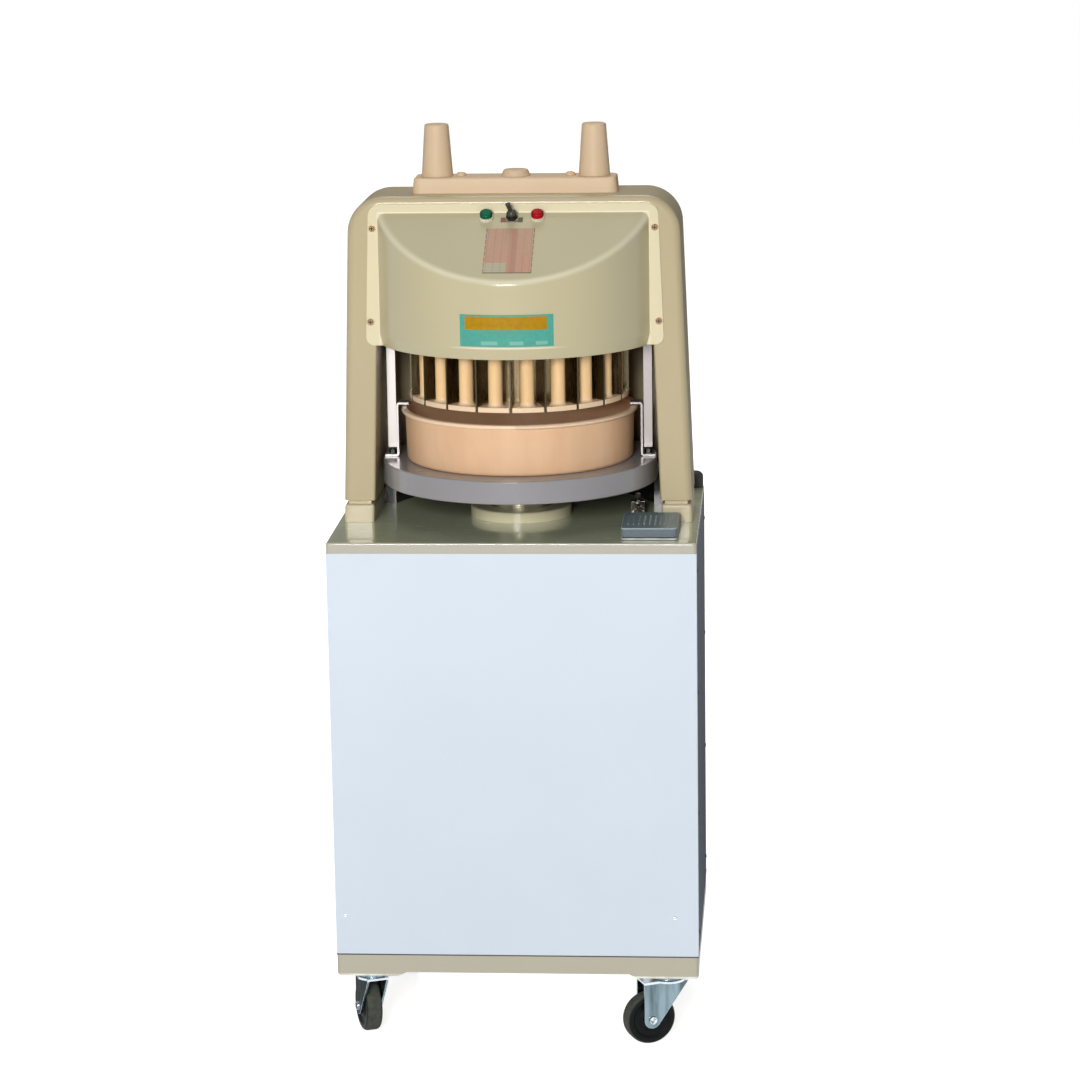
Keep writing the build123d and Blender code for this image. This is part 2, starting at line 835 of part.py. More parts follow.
# Knife carrier: the plate that holds the knives, holed for the presser stems
with BuildPart() as knife_carrier:
    with BuildSketch(Plane.XY.offset(carrier_z)):
        Circle(head_radius + carrier_margin)
        Rectangle(2 * carrier_arm_half, carrier_arm_depth)
        with Locations((guide_inner_x, 0)):
            Rectangle(
                carrier_arm_half, bar_guide_depth, align=(Align.MIN, Align.CENTER), mode=Mode.SUBTRACT
            )
        with Locations((-guide_inner_x, 0)):
            Rectangle(
                carrier_arm_half, bar_guide_depth, align=(Align.MAX, Align.CENTER), mode=Mode.SUBTRACT
            )
        for ring, count in enumerate(ring_counts):
            with PolarLocations(stem_place(ring), count, ring_start + 180 / count):
                Circle(stem_size(ring) + stem_clearance, mode=Mode.SUBTRACT)
    extrude(amount=carrier_thickness)

# Pillars that hang the carrier from the crown
with BuildPart() as head_pillars:
    with BuildSketch(Plane.XY.offset(carrier_top_z)):
        with GridLocations(2 * pillar_spread, 2 * pillar_depth, 2, 2):
            Circle(pillar_radius)
    extrude(amount=crown_z - carrier_top_z)

# Nylon guides for the table's side bars, in the ends of the carrier
with BuildPart() as bar_guides:
    with BuildSketch(Plane.XY.offset(carrier_z)):
        with Locations((bar_x, 0)):
            Rectangle(bar_width + 2 * (bar_slide_clearance + bar_guide_wall), bar_guide_depth)
            Rectangle(
                bar_width + 2 * bar_slide_clearance,
                bar_thickness + 2 * bar_slide_clearance,
                mode=Mode.SUBTRACT,
            )
        mirror(about=Plane.YZ)
    extrude(amount=bar_guide_height)


def presser_block(ring):
    """One dough presser: a sector-shaped foot between the knives with a round stem above it."""
    count = ring_counts[ring]
    half_angle = radians(180 / count)
    side_gap = knife_thickness / 2 + knife_clearance
    apex = side_gap / sin(half_angle)
    reach = 2 * head_radius
    outer = ring_radii[ring] if ring == outer_ring else ring_radii[ring] - side_gap
    flare = stem_flare if ring == outer_ring else inner_stem_flare
    with BuildPart() as block:
        with BuildSketch(Plane.XY.offset(knife_z)) as foot:
            Circle(outer)
            if ring:
                Circle(ring_radii[ring - 1] + side_gap, mode=Mode.SUBTRACT)
            with BuildLine():
                Polyline(
                    (apex, 0),
                    (apex + reach * cos(half_angle), reach * sin(half_angle)),
                    (apex + reach * cos(half_angle), -reach * sin(half_angle)),
                    close=True,
                )
            make_face(mode=Mode.INTERSECT)
            fillet(foot.vertices(), radius=foot_round)
        extrude(amount=foot_thickness)
        foot_top = knife_z + foot_thickness
        with BuildSketch(Plane.XY.offset(foot_top)):
            with Locations((stem_place(ring), 0)):
                Circle(stem_size(ring))
        extrude(amount=presser_z - foot_top)
        stem_bottom = (stem_place(ring), 0, foot_top)
        stem_base = block.edges().filter_by(GeomType.CIRCLE).sort_by_distance(stem_bottom)[0]
        fillet(stem_base, radius=flare)
    return block.part


def presser_ring(ring):
    """All pressers of one ring."""
    block = presser_block(ring)
    count = ring_counts[ring]
    with BuildPart() as blocks:
        with PolarLocations(0, count, ring_start + 180 / count):
            add(block)
    return blocks


inner_blocks = presser_ring(0)
middle_blocks = presser_ring(1)
outer_blocks = presser_ring(2)

# Presser plate above the carrier, which joins all the stems
with BuildPart() as presser_plate:
    with BuildSketch(Plane.XY.offset(presser_z)):
        Circle(head_radius - presser_margin)
    extrude(amount=presser_thickness)
    chamfer(presser_plate.edges().filter_by(GeomType.CIRCLE), length=presser_chamfer)

# Guide rods with a shoulder that centres the spring and a stop that rests on the bush
with BuildPart() as guide_rods:
    with BuildSketch(Plane.XY.offset(presser_top_z)):
        with Locations((-rod_spread, 0), (rod_spread, 0)):
            Circle(rod_radius)
    extrude(amount=rod_reach)
    with BuildSketch(Plane.XY.offset(presser_top_z)):
        with Locations((-rod_spread, 0), (rod_spread, 0)):
            Circle(rod_shoulder_radius)
    extrude(amount=rod_shoulder)
    with BuildSketch(Plane.XY.offset(arch_top_z)):
        with Locations((-rod_spread, 0), (rod_spread, 0)):
            Circle(rod_stop_radius)
    extrude(amount=rod_stop)
    chamfer(guide_rods.edges().filter_by(GeomType.CIRCLE).group_by(Axis.Z)[-1], length=rod_chamfer)

# Presser springs: each quarter turn of the helix is two arcs that meet in a common tangent
spring_radius = rod_shoulder_radius + spring_wire_radius + spring_clearance
spring_length = crown_z - bush_flange - presser_top_z - 2 * spring_wire_radius
spring_pitch = spring_length / spring_turns


def helix_point(turn):
    """Point of the spring's centre line after a number of turns."""
    angle = radians(360 * turn)
    return Vector(spring_radius * cos(angle), spring_radius * sin(angle), spring_pitch * turn)


def helix_tangent(turn):
    """Direction of the spring's centre line after a number of turns."""
    angle = radians(360 * turn)
    step = 2 * pi * spring_radius
    return Vector(-step * sin(angle), step * cos(angle), spring_pitch).normalized()


def biarc(start, end, start_way, end_way):
    """Middle point and middle direction of two arcs that join two points with given directions."""
    chord = end - start
    ways = start_way + end_way
    second = 2 * (1 - start_way.dot(end_way))
    first = 2 * chord.dot(ways)
    constant = -chord.dot(chord)
    reach = (-first + sqrt(first * first - 4 * second * constant)) / (2 * second)
    near = start + start_way * reach
    far = end - end_way * reach
    return (near + far) * 0.5, (far - near).normalized()


# Least gap between neighbouring turns, measured on points of the centre line
points_per_turn = 36
spring_points = [helix_point(index / points_per_turn) for index in range(points_per_turn * spring_turns + 1)]
turn_gaps = [
    (spring_points[far] - spring_points[near]).length - 2 * spring_wire_radius
    for near in range(len(spring_points))
    for far in range(near + points_per_turn // 2, len(spring_points))
]
print(f"least gap between the spring's turns {min(turn_gaps):.2f} mm")

quarter_turns = [quarter / 4 for quarter in range(4 * spring_turns)]
with BuildPart() as spring:
    with BuildLine() as spring_line:
        for turn in quarter_turns:
            start_point = helix_point(turn)
            end_point = helix_point(turn + 0.25)
            start_way = helix_tangent(turn)
            middle, middle_way = biarc(start_point, end_point, start_way, helix_tangent(turn + 0.25))
            TangentArc(start_point, middle, tangent=start_way)
            TangentArc(middle, end_point, tangent=middle_way)
    with BuildSketch(Plane(origin=helix_point(0), x_dir=(1, 0, 0), z_dir=helix_tangent(0))):
        Circle(spring_wire_radius)
    sweep(path=spring_line.wires()[0])
with BuildPart() as presser_springs:
    spring_z = presser_top_z + spring_wire_radius
    with Locations((-rod_spread, 0, spring_z), (rod_spread, 0, spring_z)):
        add(spring.part)

# Table: a cast disc with a rim, a hub and ribs underneath
with BuildPart() as table:
    with BuildSketch(Plane.XY.offset(table_z)):
        Circle(table_radius)
    extrude(amount=table_thickness)
    with BuildSketch(Plane.XY.offset(table_z)):
        Circle(table_radius - table_rim)
        Circle(table_hub_radius, mode=Mode.SUBTRACT)
        with PolarLocations((table_radius - table_rim + table_hub_radius) / 2, table_rib_count):
            Rectangle(table_radius, table_rib, mode=Mode.SUBTRACT)
    extrude(amount=table_thickness - table_skin, mode=Mode.SUBTRACT)
    rim_edges = table.edges().filter_by(GeomType.CIRCLE).group_by(SortBy.RADIUS)[-1]
    fillet(rim_edges, radius=table_edge_round)

# Ram collar on the top plate, with a spigot through it
with BuildPart() as ram_collar:
    with BuildSketch(Plane.XY.offset(worktop_z)):
        Circle(collar_radius)
    extrude(amount=collar_height)
    fillet(ram_collar.edges().filter_by(GeomType.CIRCLE).group_by(Axis.Z)[-1], radius=collar_edge_round)
    with BuildSketch(Plane.XY.offset(worktop_z - spigot_length)):
        Circle(spigot_radius)
    extrude(amount=spigot_length)
    with BuildSketch(Plane.XY.offset(worktop_z - spigot_length)):
        Circle(ram_radius + running_clearance)
    extrude(amount=spigot_length + collar_height, mode=Mode.SUBTRACT)

# Hydraulic cylinder under the top plate, with a rest for the piston and an oil port beside it
barrel_z = plate_z - barrel_length
barrel_floor_z = barrel_z + barrel_cap
barrel_bore = piston_radius + running_clearance
barrel_outer = barrel_bore + barrel_wall
port_z = barrel_floor_z + piston_rest / 2
port_x = barrel_outer + port_boss
with BuildPart() as cylinder_barrel:
    with BuildSketch(Plane.XY.offset(barrel_z)):
        Circle(barrel_outer)
    extrude(amount=barrel_length)
    with BuildSketch(Plane.YZ):
        with Locations((0, port_z)):
            Circle(port_boss_radius)
    extrude(amount=port_x)
    with BuildSketch(Plane.XY.offset(plate_z - barrel_flange)):
        Circle(barrel_flange_radius)
    extrude(amount=barrel_flange)
    with BuildSketch(Plane.XY.offset(barrel_floor_z)):
        Circle(barrel_bore)
    extrude(amount=barrel_length - barrel_cap, mode=Mode.SUBTRACT)
    with BuildSketch(Plane.XY.offset(barrel_floor_z)):
        Circle(piston_rest_radius)
    extrude(amount=piston_rest)
    with BuildSketch(Plane.YZ.offset(port_x)):
        with Locations((0, port_z)):
            Circle(port_bore_radius)
    extrude(amount=-port_boss - 2 * barrel_wall, mode=Mode.SUBTRACT)
    with BuildSketch(Plane.XY.offset(plate_z - barrel_flange)):
        Circle(spigot_radius + press_clearance)
    extrude(amount=barrel_flange, mode=Mode.SUBTRACT)

# Ram with its piston
piston_z = barrel_floor_z + piston_rest
with BuildPart() as ram:
    with BuildSketch(Plane.XY.offset(piston_z)):
        Circle(piston_radius)
    extrude(amount=piston_height)
    with BuildSketch(Plane.XY.offset(piston_z)):
        Circle(ram_radius)
    extrude(amount=table_z - piston_z)

# Dough pan: a moulded bowl with a rolled lip
pan_top_z = table_top_z + pan_height
with BuildPart() as pan:
    with BuildSketch(Plane.XZ) as pan_profile:
        with BuildLine():
            Polyline(
                (0, table_top_z),
                (pan_outer, table_top_z),
                (pan_rim, pan_top_z - pan_lip_height),
                (pan_rim + pan_lip, pan_top_z - pan_lip_height),
                (pan_rim + pan_lip, pan_top_z),
                (pan_inner + pan_draft, pan_top_z),
                (pan_inner, table_top_z + pan_floor),
                (0, table_top_z + pan_floor),
                close=True,
            )
        make_face()
        foot_corner = pan_profile.vertices().sort_by_distance((pan_outer, table_top_z))[0]
        fillet(foot_corner, radius=pan_floor_round)
    revolve(axis=Axis.Z)
    lip_edges = pan.edges().filter_by(GeomType.CIRCLE).group_by(SortBy.RADIUS)[-1]
    fillet(lip_edges, radius=pan_lip_round)

# Hold-down hooks: Z-shaped sheet clips on the table whose arms reach over the pan's lip
hook_z = pan_top_z + hook_over_rim
with BuildPart() as pan_hooks:
    with BuildSketch(Plane.XZ) as hook_profile:
        with BuildLine():
            Polyline(
                (hook_web, table_top_z),
                (hook_web + hook_foot, table_top_z),
                (hook_web + hook_foot, table_top_z + hook_sheet),
                (hook_web + hook_sheet, table_top_z + hook_sheet),
                (hook_web + hook_sheet, hook_z + hook_sheet),
                (hook_web - hook_reach, hook_z + hook_sheet),
                (hook_web - hook_reach, hook_z),
                (hook_web, hook_z),
                close=True,
            )
        make_face()
        inner_bends = [(hook_web + hook_sheet, table_top_z + hook_sheet), (hook_web, hook_z)]
        outer_bends = [(hook_web, table_top_z), (hook_web + hook_sheet, hook_z + hook_sheet)]
        for bend in inner_bends:
            fillet(hook_profile.vertices().sort_by_distance(bend)[0], radius=hook_bend)
        for bend in outer_bends:
            fillet(hook_profile.vertices().sort_by_distance(bend)[0], radius=hook_bend + hook_sheet)
    extrude(amount=hook_depth / 2, both=True)
    mirror(about=Plane.YZ)

# Studs and nuts on the hook feet that carry the side bars
bar_z = table_top_z + hook_sheet + bar_gap
with BuildPart() as bar_studs:
    with BuildSketch(Plane.XY.offset(table_top_z + hook_sheet)):
        with Locations((-bar_x, 0), (bar_x, 0)):
            Circle(stud_radius)
    extrude(amount=bar_gap)
    with BuildSketch(Plane.XY.offset(table_top_z + hook_sheet)):
        with Locations((-bar_x, 0), (bar_x, 0)):
            RegularPolygon(stud_nut_radius, 6)
    extrude(amount=stud_nut_height)

# Flat side bars that keep the table from turning
with BuildPart() as guide_bars:
    with BuildSketch(Plane.XY.offset(bar_z)):
        with Locations((-bar_x, 0), (bar_x, 0)):
            Rectangle(bar_width, bar_thickness)
    extrude(amount=carrier_z + bar_guide_height - bar_z)

# Oil tank on the floor of the base, with a lid that carries the motor and pump
tank_z = base_z + base_wall
tank_lid_z = tank_z + tank_height
with BuildPart() as oil_tank:
    with BuildSketch(Plane.XY.offset(tank_z)):
        RectangleRounded(tank_width, tank_depth, tank_corner)
    extrude(amount=tank_height)
    with BuildSketch(Plane.XY.offset(tank_z + tank_wall)):
        RectangleRounded(tank_width - 2 * tank_wall, tank_depth - 2 * tank_wall, tank_corner - tank_wall)
    extrude(amount=tank_height - 2 * tank_wall, mode=Mode.SUBTRACT)
    with BuildSketch(Plane.XY.offset(tank_lid_z)):
        RectangleRounded(tank_width + 2 * tank_lid_lip, tank_depth + 2 * tank_lid_lip, tank_corner)
    extrude(amount=tank_lid)

# Electric motor lying on the lid, finned along its length
motor_floor_z = tank_lid_z + tank_lid
motor_axis_z = motor_floor_z + motor_foot + motor_radius
motor_end = motor_place + motor_length / 2
with BuildPart() as motor:
    with BuildSketch(Plane.YZ.offset(motor_place - motor_length / 2)):
        with Locations((0, motor_axis_z)):
            Circle(motor_radius - motor_fin)
            with PolarLocations(motor_radius - motor_fin, motor_fin_count):
                Rectangle(2 * motor_fin, motor_fin_width)
    extrude(amount=motor_length)
    with BuildSketch(Plane.YZ.offset(motor_end)):
        with Locations((0, motor_axis_z)):
            Circle(motor_shaft_radius)
    extrude(amount=motor_shaft_length)
    with BuildSketch(Plane.XY.offset(motor_floor_z)):
        with Locations((motor_place, 0)):
            Rectangle(motor_foot_length, motor_foot_width)
    extrude(amount=motor_foot + motor_foot_rise)

# Gear pump on the end of the motor's shaft
pump_x = motor_end + motor_shaft_length
with BuildPart() as pump:
    with BuildSketch(Plane.XY.offset(motor_floor_z)):
        with Locations((pump_x + pump_length / 2, 0)):
            RectangleRounded(pump_length, pump_width, pump_corner)
    extrude(amount=pump_height)

# Steel pipe from the pump up to the cylinder's lower port
pump_top_z = motor_floor_z + pump_height
pipe_x = port_x + pipe_offset + pipe_bend
pipe_rise = port_z - pump_top_z
with BuildPart() as pressure_pipe:
    with BuildLine() as pipe_line:
        FilletPolyline(
            (pump_x + pump_length / 2, 0, pump_top_z),
            (pump_x + pump_length / 2, 0, pump_top_z + pipe_slant_start * pipe_rise),
            (pipe_x, 0, pump_top_z + pipe_slant_end * pipe_rise),
            (pipe_x, 0, port_z),
            (port_x, 0, port_z),
            radius=pipe_bend,
        )
    with BuildSketch(Plane.XY.offset(pump_top_z)):
        with Locations((pump_x + pump_length / 2, 0)):
            Circle(pipe_radius)
    sweep(path=pipe_line.wires()[0])

# Control box on the inside of the left panel
with BuildPart() as control_box:
    with BuildSketch(Plane.XY.offset(panel_z + control_box_rise)):
        with Locations((panel_sheet - half_width, 0)):
            Rectangle(control_box_depth, control_box_width, align=(Align.MIN, Align.CENTER))
    extrude(amount=control_box_height)
    fillet(control_box.faces().sort_by(Axis.X)[-1].edges(), radius=control_box_round)
    offset(amount=-control_box_wall, openings=control_box.faces().sort_by(Axis.X)[0])

# Domed rubber buffers on the rear corners of the worktop
with BuildPart() as rear_buffers:
    with BuildSketch(Plane.XY.offset(worktop_z)):
        with Locations((buffer_inset - half_width, half_depth - buffer_inset)):
            Circle(buffer_radius)
        with Locations((half_width - buffer_inset, half_depth - buffer_inset)):
            Circle(buffer_radius)
    extrude(amount=buffer_height)
    fillet(rear_buffers.edges().filter_by(GeomType.CIRCLE).group_by(Axis.Z)[-1], radius=buffer_round)

# Limit switch on the worktop under the table's rim
with BuildPart() as limit_switch:
    with BuildSketch(Plane.XY.offset(worktop_z)):
        with Locations((limit_place, limit_setback)):
            Rectangle(limit_width, limit_depth)
    extrude(amount=limit_height)
    with BuildSketch(Plane.XY.offset(worktop_z + limit_height)):
        with Locations((limit_place, limit_setback)):
            Circle(limit_stem_radius)
    extrude(amount=limit_stem)
    with BuildSketch(Plane.XZ.offset(-limit_setback)):
        with Locations((limit_place, worktop_z + limit_height + limit_stem)):
            Circle(limit_roller_radius)
    extrude(amount=limit_roller_width / 2, both=True)

# Foot switch: a flat base with two ears that hold the treadle's pin
foot_rear_y = -column_face - foot_switch_gap
foot_y = foot_rear_y - foot_switch_depth / 2
pin_y = foot_rear_y - treadle_pin_inset
treadle_depth = foot_switch_depth - treadle_rear_gap
treadle_y = foot_y - treadle_rear_gap / 2
treadle_z = worktop_z + foot_base_height + treadle_gap
pin_z = treadle_z + treadle_pin_rise
ear_x = foot_switch_width / 2 - treadle_ear / 2 - treadle_wall - treadle_side_gap
ear_rise = pin_z - worktop_z - foot_base_height
with BuildPart() as foot_switch_base:
    with BuildSketch(Plane.XY.offset(worktop_z)):
        with Locations((foot_switch_place, foot_y)):
            RectangleRounded(foot_switch_width, foot_switch_depth, foot_base_corner)
    extrude(amount=foot_base_height)
    for side in (-1, 1):
        with BuildSketch(Plane.YZ.offset(foot_switch_place + side * ear_x - treadle_ear / 2)):
            with Locations((pin_y, worktop_z + foot_base_height)):
                Rectangle(2 * treadle_ear_radius, ear_rise, align=(Align.CENTER, Align.MIN))
            with Locations((pin_y, pin_z)):
                Circle(treadle_ear_radius)
                Circle(treadle_pin_radius + press_clearance, mode=Mode.SUBTRACT)
        extrude(amount=treadle_ear)
    with BuildSketch(Plane.XZ.offset(-foot_rear_y)):
        with Locations((foot_switch_place, worktop_z + foot_inlet_radius)):
            Circle(foot_inlet_radius)
            Circle(foot_inlet_bore_radius, mode=Mode.SUBTRACT)
    extrude(amount=-foot_inlet_length)

# Pin of the treadle
with BuildPart() as treadle_pin:
    with BuildSketch(Plane.YZ.offset(foot_switch_place - foot_switch_width / 2)):
        with Locations((pin_y, pin_z)):
            Circle(treadle_pin_radius)
    extrude(amount=foot_switch_width)

# Treadle: a cast cap with tread ribs, open underneath
with BuildPart() as treadle:
    with BuildSketch(Plane.XY.offset(treadle_z)):
        with Locations((foot_switch_place, treadle_y)):
            RectangleRounded(foot_switch_width, treadle_depth, foot_base_corner)
    extrude(amount=treadle_height)
    fillet(treadle.faces().sort_by(Axis.Z)[-1].edges(), radius=treadle_edge_round)
    with BuildSketch(Plane.XY.offset(treadle_z)):
        with Locations((foot_switch_place, treadle_y)):
            Rectangle(foot_switch_width - 2 * treadle_wall, treadle_depth - 2 * treadle_wall)
    extrude(amount=treadle_height - treadle_wall, mode=Mode.SUBTRACT)
    with BuildSketch(Plane.XY.offset(treadle_z + treadle_height)):
        with Locations((foot_switch_place, treadle_y)):
            with GridLocations(treadle_rib_pitch, 0, treadle_rib_count, 1):
                SlotOverall(treadle_rib_length, treadle_rib_width, rotation=90)
    extrude(amount=treadle_rib)
    with BuildSketch(Plane.YZ.offset(foot_switch_place - foot_switch_width / 2)):
        with Locations((pin_y, pin_z)):
            Circle(treadle_pin_radius + running_clearance)
    extrude(amount=foot_switch_width, mode=Mode.SUBTRACT)

# Castor plates: a bolt-on plate, a ball race and a kingpin with its head
race_z = pad_z - caster_plate_thickness - race_height
crown_top_z = race_z - swivel_gap
kingpin_z = crown_top_z - fork_sheet - swivel_gap
with BuildPart() as caster_plates:
    with Locations(*[(x, y, pad_z - caster_plate_thickness) for x, y in caster_places.values()]):
        Box(
            caster_plate_size,
            caster_plate_size,
            caster_plate_thickness,
            align=(Align.CENTER, Align.CENTER, Align.MIN),
        )
    with Locations(*[(x, y, race_z) for x, y in caster_places.values()]):
        Cone(
            race_radius - race_taper, race_radius, race_height, align=(Align.CENTER, Align.CENTER, Align.MIN)
        )
    with Locations(*[(x, y, kingpin_z) for x, y in caster_places.values()]):
        Cylinder(kingpin_radius, race_z - kingpin_z, align=(Align.CENTER, Align.CENTER, Align.MIN))
    with Locations(*[(x, y, kingpin_z) for x, y in caster_places.values()]):
        Cylinder(kingpin_head_radius, kingpin_head, align=(Align.CENTER, Align.CENTER, Align.MAX))


def caster_plane(corner):
    """Plane on the floor under a castor's kingpin, its X axis along the trail."""
    x, y = caster_places[corner]
    angle = radians(caster_angles[corner])
    return Plane(origin=(x, y, 0), x_dir=(cos(angle), sin(angle), 0), z_dir=(0, 0, 1))


def caster_fork():
    """Fork with its rivet axle, the kingpin over the origin and the trail along X."""
    leg_gap = wheel_width / 2 + wheel_side_gap
    leg_outer = leg_gap + fork_sheet
    fork_front = trail + fork_boss_radius
    fork_length = fork_front + fork_back
    fork_middle = (fork_front - fork_back) / 2
    with BuildPart() as fork:
        with BuildSketch(Plane.XY.offset(crown_top_z)):
            Circle(fork_crown_radius)
            with Locations((fork_middle, 0)):
                Rectangle(fork_length, 2 * leg_outer)
            Circle(kingpin_radius + running_clearance, mode=Mode.SUBTRACT)
        extrude(amount=-fork_sheet)
        for side in (-1, 1):
            with BuildSketch(Plane.XZ.offset(side * (leg_gap + fork_sheet / 2))):
                with Locations((trail, axle_z)):
                    Circle(fork_boss_radius)
                with Locations((fork_middle, crown_top_z)):
                    Rectangle(fork_length, fork_sheet, align=(Align.CENTER, Align.MAX))
                make_hull()
                with Locations((trail, axle_z)):
                    Circle(axle_radius + press_clearance, mode=Mode.SUBTRACT)
            extrude(amount=fork_sheet / 2, both=True)
    with BuildPart() as axle:
        with BuildSketch(Plane.XZ):
            with Locations((trail, axle_z)):
                Circle(axle_radius)
        extrude(amount=leg_outer + press_clearance, both=True)
        for side in (-1, 1):
            with BuildSketch(Plane.XZ.offset(side * (leg_outer + press_clearance))):
                with Locations((trail, axle_z)):
                    Circle(axle_head_radius)
            extrude(amount=side * axle_head, taper=axle_head_taper)
    return [fork.part, axle.part]


def caster_wheel():
    """Solid wheel with a rounded tread, dished sides and a hub, placed as in its fork."""
    half = wheel_width / 2
    with BuildPart() as wheel:
        with BuildSketch(Plane.XY) as section:
            with BuildLine():
                Polyline(
                    (axle_radius + running_clearance, -half),
                    (wheel_hub_radius, -half),
                    (wheel_hub_radius + wheel_dish, wheel_dish - half),
                    (wheel_rim_radius - wheel_dish, wheel_dish - half),
                    (wheel_rim_radius, -half),
                    (wheel_radius, -half),
                    (wheel_radius, half),
                    (wheel_rim_radius, half),
                    (wheel_rim_radius - wheel_dish, half - wheel_dish),
                    (wheel_hub_radius + wheel_dish, half - wheel_dish),
                    (wheel_hub_radius, half),
                    (axle_radius + running_clearance, half),
                    close=True,
                )
            make_face()
            fillet(section.vertices().group_by(Axis.X)[-1], radius=wheel_tread_round)
        revolve(axis=Axis.Y)
    return wheel.part.moved(Location((trail, 0, axle_z)))


fork_pieces = caster_fork()
wheel_piece = caster_wheel()
caster_nodes = {}
for corner in caster_places:
    place = caster_plane(corner).location
    with BuildPart() as fork_node:
        with Locations(place):
            for piece in fork_pieces:
                add(piece)
    with BuildPart() as wheel_node:
        with Locations(place):
            add(wheel_piece)
    caster_nodes[corner + "_fork"] = fork_node
    caster_nodes[corner + "_wheel"] = wheel_node

# Every piece is written under the name that a person would use for it
pieces = {
    "base_frame": base_frame,
    "cabinet_posts": cabinet_posts,
    "front_panel": front_panel,
    "rear_panel": rear_panel,
    "left_side_panel": left_side_panel,
    "right_side_panel": right_side_panel,
    "cable_gland": cable_gland,
    "top_plate": top_plate,
    "arch_frame": arch_frame,
    "column_feet": column_feet,
    "front_cover": front_cover,
    "rear_cover": rear_cover,
    "cover_screws": cover_screws,
    "lamp_bezels": lamp_bezels,
    "green_lens": green_lens,
    "red_lens": red_lens,
    "switch_body": switch_body,
    "toggle_lever": toggle_lever,
    "yoke": yoke,
    "rod_covers": rod_covers,
    "centre_cap": centre_cap,
    "yoke_bolts": yoke_bolts,
    "guide_bushes": guide_bushes,
    "knife_set": knife_set,
    "knife_carrier": knife_carrier,
    "head_pillars": head_pillars,
    "bar_guides": bar_guides,
    "inner_blocks": inner_blocks,
    "middle_blocks": middle_blocks,
    "outer_blocks": outer_blocks,
    "presser_plate": presser_plate,
    "guide_rods": guide_rods,
    "presser_springs": presser_springs,
    "table": table,
    "ram_collar": ram_collar,
    "cylinder_barrel": cylinder_barrel,
    "ram": ram,
    "pan": pan,
    "pan_hooks": pan_hooks,
    "bar_studs": bar_studs,
    "guide_bars": guide_bars,
    "oil_tank": oil_tank,
    "motor": motor,
    "pump": pump,
    "pressure_pipe": pressure_pipe,
    "control_box": control_box,
    "rear_buffers": rear_buffers,
    "limit_switch": limit_switch,
    "foot_switch_base": foot_switch_base,
    "treadle_pin": treadle_pin,
    "treadle": treadle,
    "caster_plates": caster_plates,
}
pieces.update(caster_nodes)
os.makedirs("parts", exist_ok=True)
for node_name, piece in pieces.items():
    piece.part.label = node_name
    export_step(piece.part, f"parts/{node_name}.step")
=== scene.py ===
"""Looks of the dough divider: a finish for every piece, small plates and marks, light and camera."""
import json
import math

import bmesh
import bpy
from mathutils import Matrix, Vector


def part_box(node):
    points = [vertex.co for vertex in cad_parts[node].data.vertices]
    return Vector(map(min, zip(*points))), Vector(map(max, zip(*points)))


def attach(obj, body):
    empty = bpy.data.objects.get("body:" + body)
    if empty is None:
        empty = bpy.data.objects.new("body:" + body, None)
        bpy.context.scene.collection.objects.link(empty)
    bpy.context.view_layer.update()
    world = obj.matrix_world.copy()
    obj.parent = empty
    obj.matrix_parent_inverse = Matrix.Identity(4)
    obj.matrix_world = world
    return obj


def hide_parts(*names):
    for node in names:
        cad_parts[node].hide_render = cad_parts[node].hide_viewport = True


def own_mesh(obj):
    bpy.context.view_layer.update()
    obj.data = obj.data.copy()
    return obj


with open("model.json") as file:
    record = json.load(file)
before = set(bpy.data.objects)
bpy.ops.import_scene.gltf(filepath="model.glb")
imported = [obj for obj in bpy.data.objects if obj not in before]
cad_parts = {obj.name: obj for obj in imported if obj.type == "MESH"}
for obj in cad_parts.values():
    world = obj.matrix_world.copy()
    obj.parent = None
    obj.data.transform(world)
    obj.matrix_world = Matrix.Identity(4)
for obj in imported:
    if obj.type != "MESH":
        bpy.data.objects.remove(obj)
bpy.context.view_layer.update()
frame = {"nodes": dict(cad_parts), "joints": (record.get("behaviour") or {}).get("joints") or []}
nodes = frame["nodes"]

# Camera of the photograph: focal length in pixels of its square frame, angles in radians, place in metres
IMAGE_SIZE = 1080
FOCAL_PIXELS = 3502.0
CAMERA_YAW = -0.07553
CAMERA_PITCH = 0.21655
CAMERA_ROLL = 0.01531
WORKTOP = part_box("top_plate")[1].z
CAMERA_PLACE = Vector((0.4018, -4.9606, WORKTOP + 1.0541))
SENSOR_WIDTH = 36.0
CLIP_END = 100.0

# Floor, cards and ambient light: reaches in metres, glows as strengths where 1 is white
WHITE = (1.0, 1.0, 1.0, 1.0)
FLOOR_GREY = (0.8, 0.8, 0.8, 1.0)
FLOOR_REACH = 12.0
FLOOR_GLOW = (0.80, 1.0)
FLOOR_GLOW_REACH = (0.7, 2.2)
CARD_GREY = (0.14, 0.14, 0.133, 1.0)
CARD_LIFT = 0.003
AMBIENT = 0.15
LOOK_AT = Vector((0.0, 0.0, 0.75))

# Places that the plates and marks take from the head cover
COVER_RADIUS = 0.204
SLOPE_ORIGIN = Vector((0.0, -0.068, WORKTOP + 0.4475))
SLOPE_ANGLE = math.radians(30.4)
TOGGLE_DROP = 0.0145
TOGGLE_NUT_RADIUS = 0.0085
FLANGE_FACE = 0.0706
FLANGE_SKIN = 0.0003
PLATE_THICKNESS = 0.0005

